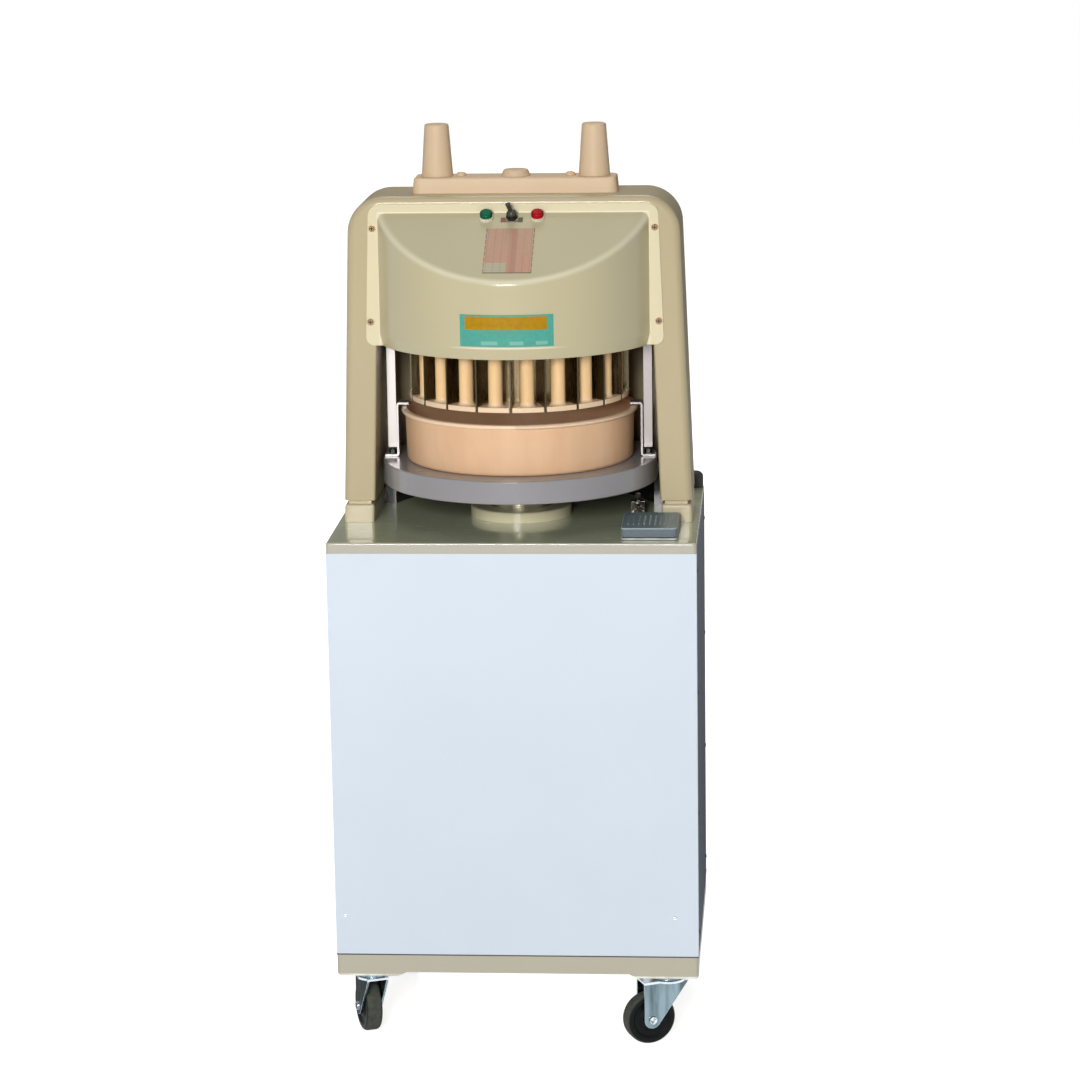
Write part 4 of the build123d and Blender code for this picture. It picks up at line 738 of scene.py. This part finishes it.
def name_plate_print(name, ground, bar, field):
    """Printed name plate: a ground, a bar across its upper half and three empty fields."""
    finish = Finish(name, ground, 0.32, specular=0.15)
    across = finish.axis("X")
    height = finish.axis("Z")
    printed = finish.mottled(ground, 0.93, 1.06, scale=160.0, detail=4.0)
    gold = finish.mottled(bar, 0.9, 1.1, scale=160.0, detail=4.0)
    on_bar = finish.times(finish.within(across, NAME_BAR_SIDES), finish.within(height, NAME_BAR_LEVELS))
    printed = finish.blend(on_bar, printed, gold)
    for sides in FIELD_SIDES:
        on_field = finish.times(finish.within(across, sides), finish.within(height, FIELD_LEVELS))
        printed = finish.blend(on_field, printed, field)
    finish.paint(printed)
    finish.drive("Roughness", finish.spread(finish.noise(300.0), 0.26, 0.42))
    return finish


def chart_print(name, ground, pale, ink, ruling):
    """Ruled chart on a thin film: uneven pink columns, a finely ruled plain corner and a broken border."""
    finish = Finish(name, ground, 0.36, specular=0.25)
    across = finish.axis("X")
    from_flange = finish.math("ADD", finish.axis("Y"), -SLOPE_ORIGIN.y)
    drop = finish.times(from_flange, -1 / math.cos(SLOPE_ANGLE))
    bands = finish.remap(finish.grain(CHART_GRAIN, detail=3.0), 0.36, 0.64)
    deep_column = finish.remap(finish.off(across, DEEP_COLUMN_SIDE), *DEEP_COLUMN_WIDTH)
    columns = finish.blend(deep_column, finish.blend(bands, pale, ink), shade(ink, 0.82))
    patches = finish.remap(finish.noise(160.0), 0.4, 0.65, 0.0, 0.3)
    rows = finish.times(finish.lines(drop, ROW_PITCH, ROW_WIDTH), patches)
    columns = finish.blend(rows, columns, shade(ink, 0.75))
    corner = finish.times(finish.below(across, CORNER_SIDE), finish.above(drop, CORNER_DROP))
    corner_rows = finish.times(finish.lines(drop, CORNER_PITCH, CORNER_WIDTH), 0.3)
    body = finish.blend(corner, columns, finish.blend(corner_rows, ground, ruling))
    from_left = finish.math("ADD", across, COLUMN_START)
    upright = finish.times(finish.lines(from_left, COLUMN_PITCH, COLUMN_WIDTH), 0.45)
    ruled = finish.blend(upright, body, ruling)
    on_side = finish.below(finish.off(finish.size(across), CHART_HALF), BORDER_WIDTH)
    sides = finish.times(on_side, finish.lines(drop, DASH_PITCH, DASH_WIDTH))
    foot = finish.below(finish.off(drop, CHART_DROPS[1]), FOOT_LINE_WIDTH)
    border = finish.times(finish.larger(sides, foot), 0.8)
    finish.paint(finish.blend(border, ruled, shade(ruling, 0.62)))
    return finish


def legend_print(name, ground, left_end, right_end):
    """Small grey legend plate with coloured ends."""
    finish = Finish(name, ground, 0.4, specular=0.2)
    across = finish.axis("X")
    patchy_share = finish.remap(finish.noise(500.0, detail=4.0), 0.35, 0.65, 0.65, 1.0)
    left = finish.below(across, LEGEND_END - LEGEND_HALF)
    right = finish.above(across, LEGEND_HALF - LEGEND_END)
    printed = finish.blend(finish.times(left, patchy_share), ground, left_end)
    finish.paint(finish.blend(finish.times(right, patchy_share), printed, right_end))
    return finish


TAN = colour(191, 176, 140)
FOOT = colour(200, 188, 155)
BEIGE = colour(197, 187, 151)
FLANGE = colour(224, 213, 178)
BAND = colour(190, 184, 165)
PEACH = colour(217, 191, 158)
WHITE_SHEET = colour(216, 226, 237)
# Dark grey of the cabinet's sides and back, taken from a side that shows only in shade: partly painted shade
GREY_SHEET = colour(66, 75, 90)
# Olive of the worktop's upper face, a painted reflection of dark surroundings
OLIVE = colour(206, 212, 180)
FORK_ZINC = colour(150, 172, 182)
FORK_CLOUDS = colour(80, 98, 104)
FORK_BRIGHT = colour(230, 238, 242)
TYRE_SIDE = colour(8, 14, 13)
TYRE_TREAD = colour(82, 85, 76)

# Arch enamel: its inward faces take a darker copy of the tan as painted shade
tan = enamel("tan_enamel", TAN, coat=0.3, inner_shade=shade(TAN, 0.8))
# Column feet: a paler copy of the tan enamel with strongly paled edges, painted light and painted highlights
foot_enamel = enamel("foot_enamel", FOOT, coat=0.3, inner_shade=shade(TAN, 0.8), edge=0.0026, edge_paling=1.0)
cover_paint = cover_enamel(
    "cover_enamel",
    BEIGE,
    FLANGE,
    # pale is the painted highlight of the crease, fold and root lines
    pale=colour(246, 240, 216),
    pale_primer=colour(192, 180, 150),
    # painted shade low inside the covers
    shaded_primer=colour(36, 36, 30),
)
# Base enamel with a painted highlight along its lower lip
band_paint = enamel("base_enamel", BAND, 0.4, lip_highlight=colour(250, 248, 238))
collar_paint = enamel("collar_enamel", colour(216, 208, 176), 0.34, coat=0.3)
peach = enamel("peach_enamel", PEACH, 0.48, coat=0.05)
# A slightly lighter copy of the peach enamel for the yoke, painted light
yoke_paint = enamel("yoke_enamel", shade(PEACH, 1.03), 0.5, coat=0.02)
# The worktop's edges take a darker copy of the base band and its top an olive tone: painted light and
# reflection
worktop = worktop_enamel("worktop_enamel", edge_base=shade(BAND, 0.82), top_base=OLIVE)
white_sheet = sheet_paint("white_sheet", WHITE_SHEET)
grey_sheet = sheet_paint("grey_sheet", GREY_SHEET, 0.6)
table_grey = enamel("table_enamel", colour(145, 143, 145), 0.3, coat=0.5)
# Bars painted brighter on the left than the right, painted light
bright_steel = bar_steel("bright_steel", colour(204, 198, 194), dim_tone=colour(158, 151, 149))
knife_steel = blade_steel(
    # deep is a painted reflection, edge a painted shade
    "knife_steel", colour(106, 97, 74), deep=colour(196, 172, 132), edge=colour(84, 76, 58)
)
ram_steel = steel("ram_steel", colour(176, 171, 146), 0.36, TURNED_GRAIN)
dark_steel = steel("dark_steel", colour(66, 66, 64), 0.42)
plated_zinc = zinc("zinc_plating", colour(222, 230, 234))
brass = steel("brass", colour(190, 158, 96), 0.28)
switch_metal = speckled_metal("limit_switch", colour(58, 56, 50), speck=colour(206, 198, 190))
iron = casting("cast_iron", colour(92, 96, 100))
amber_blocks = block_resin("amber_resin", stem=colour(250, 209, 152), foot=colour(244, 214, 179))
pan_resin = resin(
    # rim is a painted highlight
    "pan_resin", colour(235, 194, 154), dark=colour(224, 181, 141), roughness=0.36, rim=colour(248, 216, 182)
)
nylon = resin("white_nylon", colour(222, 220, 208), dark=colour(206, 203, 190), roughness=0.45)
cream_resin = resin("cream_resin", colour(220, 214, 192), colour(200, 194, 170), roughness=0.2, glow=0.3)
green_lens = lens("green_lens", colour(4, 108, 74))
red_lens = lens("red_lens", colour(190, 6, 24))
black_plastic = plain_plastic("black_plastic", colour(44, 46, 38), 0.4)
buffer_rubber = plain_plastic("buffer_rubber", colour(30, 32, 30), 0.6)
foot_paint = treadle_paint(
    "treadle_paint",
    colour(100, 112, 120),
    # upper is painted light, rib and lip colours painted highlights
    upper=colour(112, 130, 134),
    rib_highlight=colour(196, 206, 210),
    lip_highlight=colour(178, 190, 198),
)
base_paint = foot_base_paint(
    # bright is a painted highlight, dark a painted shadow
    "foot_base_paint", colour(104, 120, 124), bright=colour(222, 226, 224), dark=colour(70, 68, 62)
)
screw_plate = cross_recess_screw(
    "cover_screws", washer=colour(180, 154, 124), head=colour(142, 124, 100), recess=colour(28, 24, 20)
)

# The nodes that each finish goes on
NODE_FINISHES = (
    (band_paint, ["base_frame"]),
    (white_sheet, ["front_panel"]),
    (grey_sheet, ["cabinet_posts", "rear_panel", "left_side_panel", "right_side_panel", "control_box"]),
    (worktop, ["top_plate"]),
    (tan, ["arch_frame"]),
    (foot_enamel, ["column_feet"]),
    (cover_paint, ["front_cover", "rear_cover"]),
    (screw_plate, ["cover_screws"]),
    (cream_resin, ["lamp_bezels"]),
    (green_lens, ["green_lens"]),
    (red_lens, ["red_lens"]),
    (black_plastic, ["cable_gland", "toggle_lever"]),
    (yoke_paint, ["yoke"]),
    (peach, ["rod_covers", "centre_cap", "yoke_bolts"]),
    (brass, ["guide_bushes"]),
    (knife_steel, ["knife_set", "knife_carrier", "presser_plate"]),
    (nylon, ["bar_guides"]),
    (amber_blocks, ["inner_blocks", "middle_blocks", "outer_blocks"]),
    (ram_steel, ["head_pillars", "guide_rods", "ram"]),
    (dark_steel, ["switch_body", "presser_springs", "bar_studs", "pressure_pipe"]),
    (table_grey, ["table"]),
    (collar_paint, ["ram_collar"]),
    (iron, ["cylinder_barrel", "oil_tank", "motor", "pump"]),
    (pan_resin, ["pan"]),
    (bright_steel, ["pan_hooks", "guide_bars"]),
    (switch_metal, ["limit_switch"]),
    (buffer_rubber, ["rear_buffers"]),
    (base_paint, ["foot_switch_base"]),
    (foot_paint, ["treadle"]),
    (plated_zinc, ["treadle_pin", "caster_plates"]),
)


def give(node_name, finish):
    """Puts one finish on a CAD piece."""
    slots = nodes[node_name].data.materials
    slots.clear()
    slots.append(finish.material)


for finish, node_names in NODE_FINISHES:
    for node_name in node_names:
        give(node_name, finish)
for corner in ("front_left", "front_right", "rear_left", "rear_right"):
    wheel_name = corner + "_wheel"
    fork_name = corner + "_fork"
    roll = next(joint for joint in frame["joints"] if joint["child"] == wheel_name)
    axle = Vector(roll["axis"])
    low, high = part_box(wheel_name)
    middle = (low + high) / 2
    radius = (high.z - low.z) / 2
    give(wheel_name, tyre(wheel_name, middle, axle, radius, TYRE_SIDE, TYRE_TREAD))
    # Darker copies of the zinc on the front forks: painted shade
    tone = FORK_TONES.get(corner, 1.0)
    plated = shade(FORK_ZINC, tone)
    clouded = shade(FORK_CLOUDS, tone)
    give(fork_name, fork_zinc(fork_name, plated, clouded, FORK_BRIGHT, middle, axle))

# A copy of the presser springs that rides on the presser, with their feet on its plate, in place of the
# hidden CAD springs
spring_coils = bpy.data.objects.new("spring_coils", nodes["presser_springs"].data.copy())
bpy.context.scene.collection.objects.link(spring_coils)
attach(spring_coils, "presser")
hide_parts("presser_springs")
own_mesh(spring_coils)


def add_piece(name, mesh, finish):
    """Makes a mesh into a piece of the cabinet."""
    bmesh.ops.recalc_face_normals(mesh, faces=mesh.faces)
    data = bpy.data.meshes.new(name)
    mesh.to_mesh(data)
    mesh.free()
    data.materials.append(finish.material)
    piece = bpy.data.objects.new(name, data)
    bpy.context.scene.collection.objects.link(piece)
    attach(piece, "cabinet")
    return piece


def plate_piece(name, rows, outward, finish):
    """A thin plate between two rows of points, raised along a direction given for each point."""
    outline = [*rows[0], *rows[1][::-1]]
    mesh = bmesh.new()
    front = [mesh.verts.new(point + outward(point) * PLATE_THICKNESS) for point in outline]
    back = [mesh.verts.new(point) for point in outline]
    for step in range(len(rows[0]) - 1):
        for layer, turn in ((front, 1), (back, -1)):
            corners = [layer[step], layer[step + 1], layer[-2 - step], layer[-1 - step]]
            mesh.faces.new(corners[::turn])
    for step in range(len(outline)):
        after = (step + 1) % len(outline)
        mesh.faces.new([front[step], back[step], back[after], front[after]])
    add_piece(name, mesh, finish)


def between(low, high, count):
    """Evenly spaced values from low to high."""
    return [low + (high - low) * index / (count - 1) for index in range(count)]


def drum_point(across, level):
    """Point on the front of the cover's drum."""
    return Vector((across, -math.sqrt(COVER_RADIUS ** 2 - across ** 2), level))


def drum_outward(point):
    """Direction away from the drum's axis."""
    return Vector((point.x, point.y, 0)).normalized()


def slope_point(across, drop):
    """Point on the cover's slope, measured down from the flange."""
    down = Vector((0, -math.cos(SLOPE_ANGLE), -math.sin(SLOPE_ANGLE)))
    return SLOPE_ORIGIN + Vector((across, 0, 0)) + down * drop


def slope_outward(point):
    """Direction straight out of the slope."""
    return Vector((0, -math.sin(SLOPE_ANGLE), math.cos(SLOPE_ANGLE)))


name_print = name_plate_print(
    "name_plate", ground=colour(84, 166, 150), bar=colour(178, 134, 14), field=colour(128, 186, 172)
)
name_rows = [
    [drum_point(across, level) for across in between(*NAME_PLATE_SIDES, NAME_PLATE_STEPS)]
    for level in NAME_PLATE_LEVELS
]
plate_piece("name_plate", name_rows, drum_outward, name_print)

chart_ink = chart_print(
    "ruled_chart",
    ground=colour(190, 182, 154),
    pale=colour(192, 161, 133),
    ink=colour(202, 150, 126),
    ruling=colour(140, 127, 102),
)
chart_rows = [[slope_point(across, drop) for across in (-CHART_HALF, CHART_HALF)] for drop in CHART_DROPS]
plate_piece("ruled_chart", chart_rows, slope_outward, chart_ink)


def notched_legend():
    """Rows of the legend plate, whose upper edge goes round the toggle's nut."""
    room = TOGGLE_NUT_RADIUS + LEGEND_ROOM
    upper = []
    lower = []
    for across in between(-LEGEND_HALF, LEGEND_HALF, LEGEND_STEPS):
        drop = LEGEND_DROPS[0]
        if abs(across) < room:
            drop = max(drop, TOGGLE_DROP + math.sqrt(room ** 2 - across ** 2))
        upper.append(slope_point(across, drop))
        lower.append(slope_point(across, LEGEND_DROPS[1]))
    return [upper, lower]


legend = legend_print(
    "legend_plate", ground=colour(130, 130, 120), left_end=colour(150, 82, 72), right_end=colour(84, 78, 42)
)
plate_piece("legend_plate", notched_legend(), slope_outward, legend)

# Dark seam where the panels stand on the base, one strip for each side of the cabinet
seam_rubber = plain_plastic("seam_gasket", colour(70, 64, 66), 0.6)
SEAM_SIDES = {
    "front": (Vector((0, -1, 0)), PANEL_HALF_DEPTH, PANEL_HALF_WIDTH),
    "back": (Vector((0, 1, 0)), PANEL_HALF_DEPTH, PANEL_HALF_WIDTH),
    "left": (Vector((-1, 0, 0)), PANEL_HALF_WIDTH, PANEL_HALF_DEPTH),
    "right": (Vector((1, 0, 0)), PANEL_HALF_WIDTH, PANEL_HALF_DEPTH),
}
for side, (way, reach, half) in SEAM_SIDES.items():
    along = Vector((-way.y, way.x, 0))
    seam_rows = [
        [way * reach + along * step + Vector((0, 0, level)) for step in (-half, half)]
        for level in (PANEL_LEVEL - SEAM_HEIGHT / 2, PANEL_LEVEL + SEAM_HEIGHT / 2)
    ]
    plate_piece(f"panel_seam_{side}", seam_rows, lambda point, way=way: way, seam_rubber)


def rivets(name, places, radius, finish):
    """Domed rivets with a dimple, each at a point with the direction that it faces."""
    mesh = bmesh.new()
    for point, way in places:
        turn = way.to_track_quat("Z", "Y").to_matrix().to_4x4()
        rings = []
        for reach, rise in RIVET_PROFILE:
            ring = []
            for step in range(RIVET_STEPS):
                angle = 2 * math.pi * step / RIVET_STEPS
                local = Vector((math.cos(angle) * reach, math.sin(angle) * reach, rise)) * radius
                ring.append(mesh.verts.new(point + turn @ local))
            rings.append(ring)
        for lower, upper in zip(rings, rings[1:]):
            for step in range(RIVET_STEPS):
                after = (step + 1) % RIVET_STEPS
                mesh.faces.new([lower[step], lower[after], upper[after], upper[step]])
        mesh.faces.new(rings[-1])
        mesh.faces.new(rings[0][::-1])
    piece = add_piece(name, mesh, finish)
    piece.data.shade_smooth()


front = Vector((0, -1, 0))
fixing_places = [(Vector((across, -PANEL_HALF_DEPTH, FIXING_LEVEL)), front) for across in FIXING_SIDES]
rivets("panel_fixings", fixing_places, FIXING_RADIUS, plated_zinc)
rivet_places = []
for level in between(PANEL_LEVEL + RIVET_MARGIN, PANEL_TOP - RIVET_MARGIN, RIVET_ROWS):
    for side in (-1, 1):
        rear_point = Vector((side * (PANEL_HALF_WIDTH - RIVET_INSET), PANEL_HALF_DEPTH, level))
        rivet_places.append((rear_point, Vector((0, 1, 0))))
        for end in (-1, 1):
            side_point = Vector((side * PANEL_HALF_WIDTH, end * (PANEL_HALF_DEPTH - 3 * RIVET_INSET), level))
            rivet_places.append((side_point, Vector((side, 0, 0))))
rivets("panel_rivets", rivet_places, RIVET_RADIUS, grey_sheet)


def camera():
    """Camera where the photograph was taken from."""
    cos_yaw, sin_yaw = math.cos(CAMERA_YAW), math.sin(CAMERA_YAW)
    cos_pitch, sin_pitch = math.cos(CAMERA_PITCH), math.sin(CAMERA_PITCH)
    forward = Vector((sin_yaw * cos_pitch, cos_yaw * cos_pitch, -sin_pitch))
    level_right = Vector((cos_yaw, -sin_yaw, 0))
    level_down = forward.cross(level_right)
    right = level_right * math.cos(CAMERA_ROLL) + level_down * math.sin(CAMERA_ROLL)
    down = level_down * math.cos(CAMERA_ROLL) - level_right * math.sin(CAMERA_ROLL)
    turn = Matrix((right, -down, -forward)).transposed()
    data = bpy.data.cameras.new("camera")
    data.sensor_width = SENSOR_WIDTH
    data.lens = SENSOR_WIDTH * FOCAL_PIXELS / IMAGE_SIZE
    data.clip_end = CLIP_END
    made = bpy.data.objects.new("camera", data)
    made.matrix_world = Matrix.Translation(CAMERA_PLACE) @ turn.to_4x4()
    bpy.context.scene.collection.objects.link(made)
    bpy.context.scene.camera = made


def area_light(name, place, size, power, glare=True):
    """Soft square light aimed at the middle of the machine."""
    data = bpy.data.lights.new(name, "AREA")
    data.shape = "SQUARE"
    data.size = size
    data.energy = power
    made = bpy.data.objects.new(name, data)
    aim = (LOOK_AT - Vector(place)).to_track_quat("-Z", "Y")
    made.matrix_world = Matrix.Translation(place) @ aim.to_matrix().to_4x4()
    made.visible_glossy = glare
    bpy.context.scene.collection.objects.link(made)


def seen_directly(graph):
    """1 for rays that come straight from the camera, a mirror or a glass."""
    path = graph.node("ShaderNodeLightPath")
    seen = graph.larger(path["Is Camera Ray"], path["Is Glossy Ray"])
    return graph.larger(seen, path["Is Transmission Ray"])


def surroundings():
    """White all round to the eye, with a softer ambient light."""
    world = bpy.data.worlds.new("studio")
    world.use_nodes = True
    bpy.context.scene.world = world
    graph = Graph(world.node_tree)
    light = graph.tree.nodes["Background"]
    graph.feed(light, {"Color": WHITE, "Strength": AMBIENT})
    seen = graph.node("ShaderNodeBackground", {"Color": WHITE, "Strength": 1.0})
    both = {0: seen_directly(graph), 1: light.outputs["Background"], 2: seen["Background"]}
    mix = graph.node("ShaderNodeMixShader", both)
    graph.feed(graph.tree.nodes["World Output"], {"Surface": mix["Shader"]})


def bare_material(name):
    """A material with nothing but its output, and its graph."""
    material = bpy.data.materials.new(name)
    material.use_nodes = True
    graph = Graph(material.node_tree)
    graph.tree.nodes.remove(graph.tree.nodes["Principled BSDF"])
    return material, graph


def pale_floor():
    """Floor paint that is white to the eye, and takes the object's shadow round its foot."""
    material, graph = bare_material("pale_floor")
    matt = graph.node("ShaderNodeBsdfDiffuse", {"Color": FLOOR_GREY})
    reach = graph.length(graph.node("ShaderNodeTexCoord")["Object"])
    lift = graph.remap(reach, *FLOOR_GLOW_REACH, *FLOOR_GLOW)
    strength = graph.times(seen_directly(graph), lift)
    glow = graph.node("ShaderNodeEmission", {"Color": WHITE, "Strength": strength})
    both = graph.node("ShaderNodeAddShader", {0: matt["BSDF"], 1: glow["Emission"]})
    graph.feed(graph.tree.nodes["Material Output"], {"Surface": both["Shader"]})
    return material


def card_paint():
    """Even dark grey for the cards."""
    material, graph = bare_material("card_paint")
    glow = graph.node("ShaderNodeEmission", {"Color": CARD_GREY})
    graph.feed(graph.tree.nodes["Material Output"], {"Surface": glow["Emission"]})
    return material


def level_corners(left, right, near, far, height):
    """Corners of a level rectangle."""
    return [(left, near, height), (right, near, height), (right, far, height), (left, far, height)]


def upright_corners(half, depth, low, high):
    """Corners of an upright rectangle that faces the front."""
    return [(-half, depth, low), (half, depth, low), (half, depth, high), (-half, depth, high)]


def stage_plane(name, corners, material):
    """A flat stage piece from its four corners."""
    data = bpy.data.meshes.new(name)
    data.from_pydata(corners, [], [(0, 1, 2, 3)])
    data.materials.append(material)
    made = bpy.data.objects.new(name, data)
    bpy.context.scene.collection.objects.link(made)
    return made


# Dark cards that only show in polished pieces: behind the camera, behind the machine, and on the floor at its
# right and left rear
CARDS = {
    "card_front": upright_corners(half=6, depth=-6.5, low=0, high=5),
    "card_back": upright_corners(half=1.2, depth=0.9, low=0.78, high=1.75),
    "card_right": level_corners(left=0.28, right=2.0, near=0.25, far=11.5, height=CARD_LIFT),
    "card_left": level_corners(left=-1.4, right=-0.27, near=-0.1, far=2.5, height=CARD_LIFT),
}
floor_corners = level_corners(-FLOOR_REACH, FLOOR_REACH, -FLOOR_REACH, FLOOR_REACH, 0)
stage_plane("floor", floor_corners, pale_floor())
dark_grey = card_paint()
for card_name, card_corners in CARDS.items():
    card = stage_plane(card_name, card_corners, dark_grey)
    card.visible_camera = False
    card.visible_diffuse = False
    card.visible_shadow = False
    card.visible_transmission = False

area_light("key", place=(-0.55, -6.2, 2.45), size=1.5, power=278.0)
area_light("top", place=(0.0, -1.4, 3.8), size=1.2, power=5.0)
area_light("rim", place=(0.1, 1.6, 3.2), size=1.4, power=14.0)
area_light("back", place=(-0.4, 5.2, 3.6), size=1.8, power=110.0, glare=False)
surroundings()
camera()
bpy.context.scene.view_settings.view_transform = "Standard"
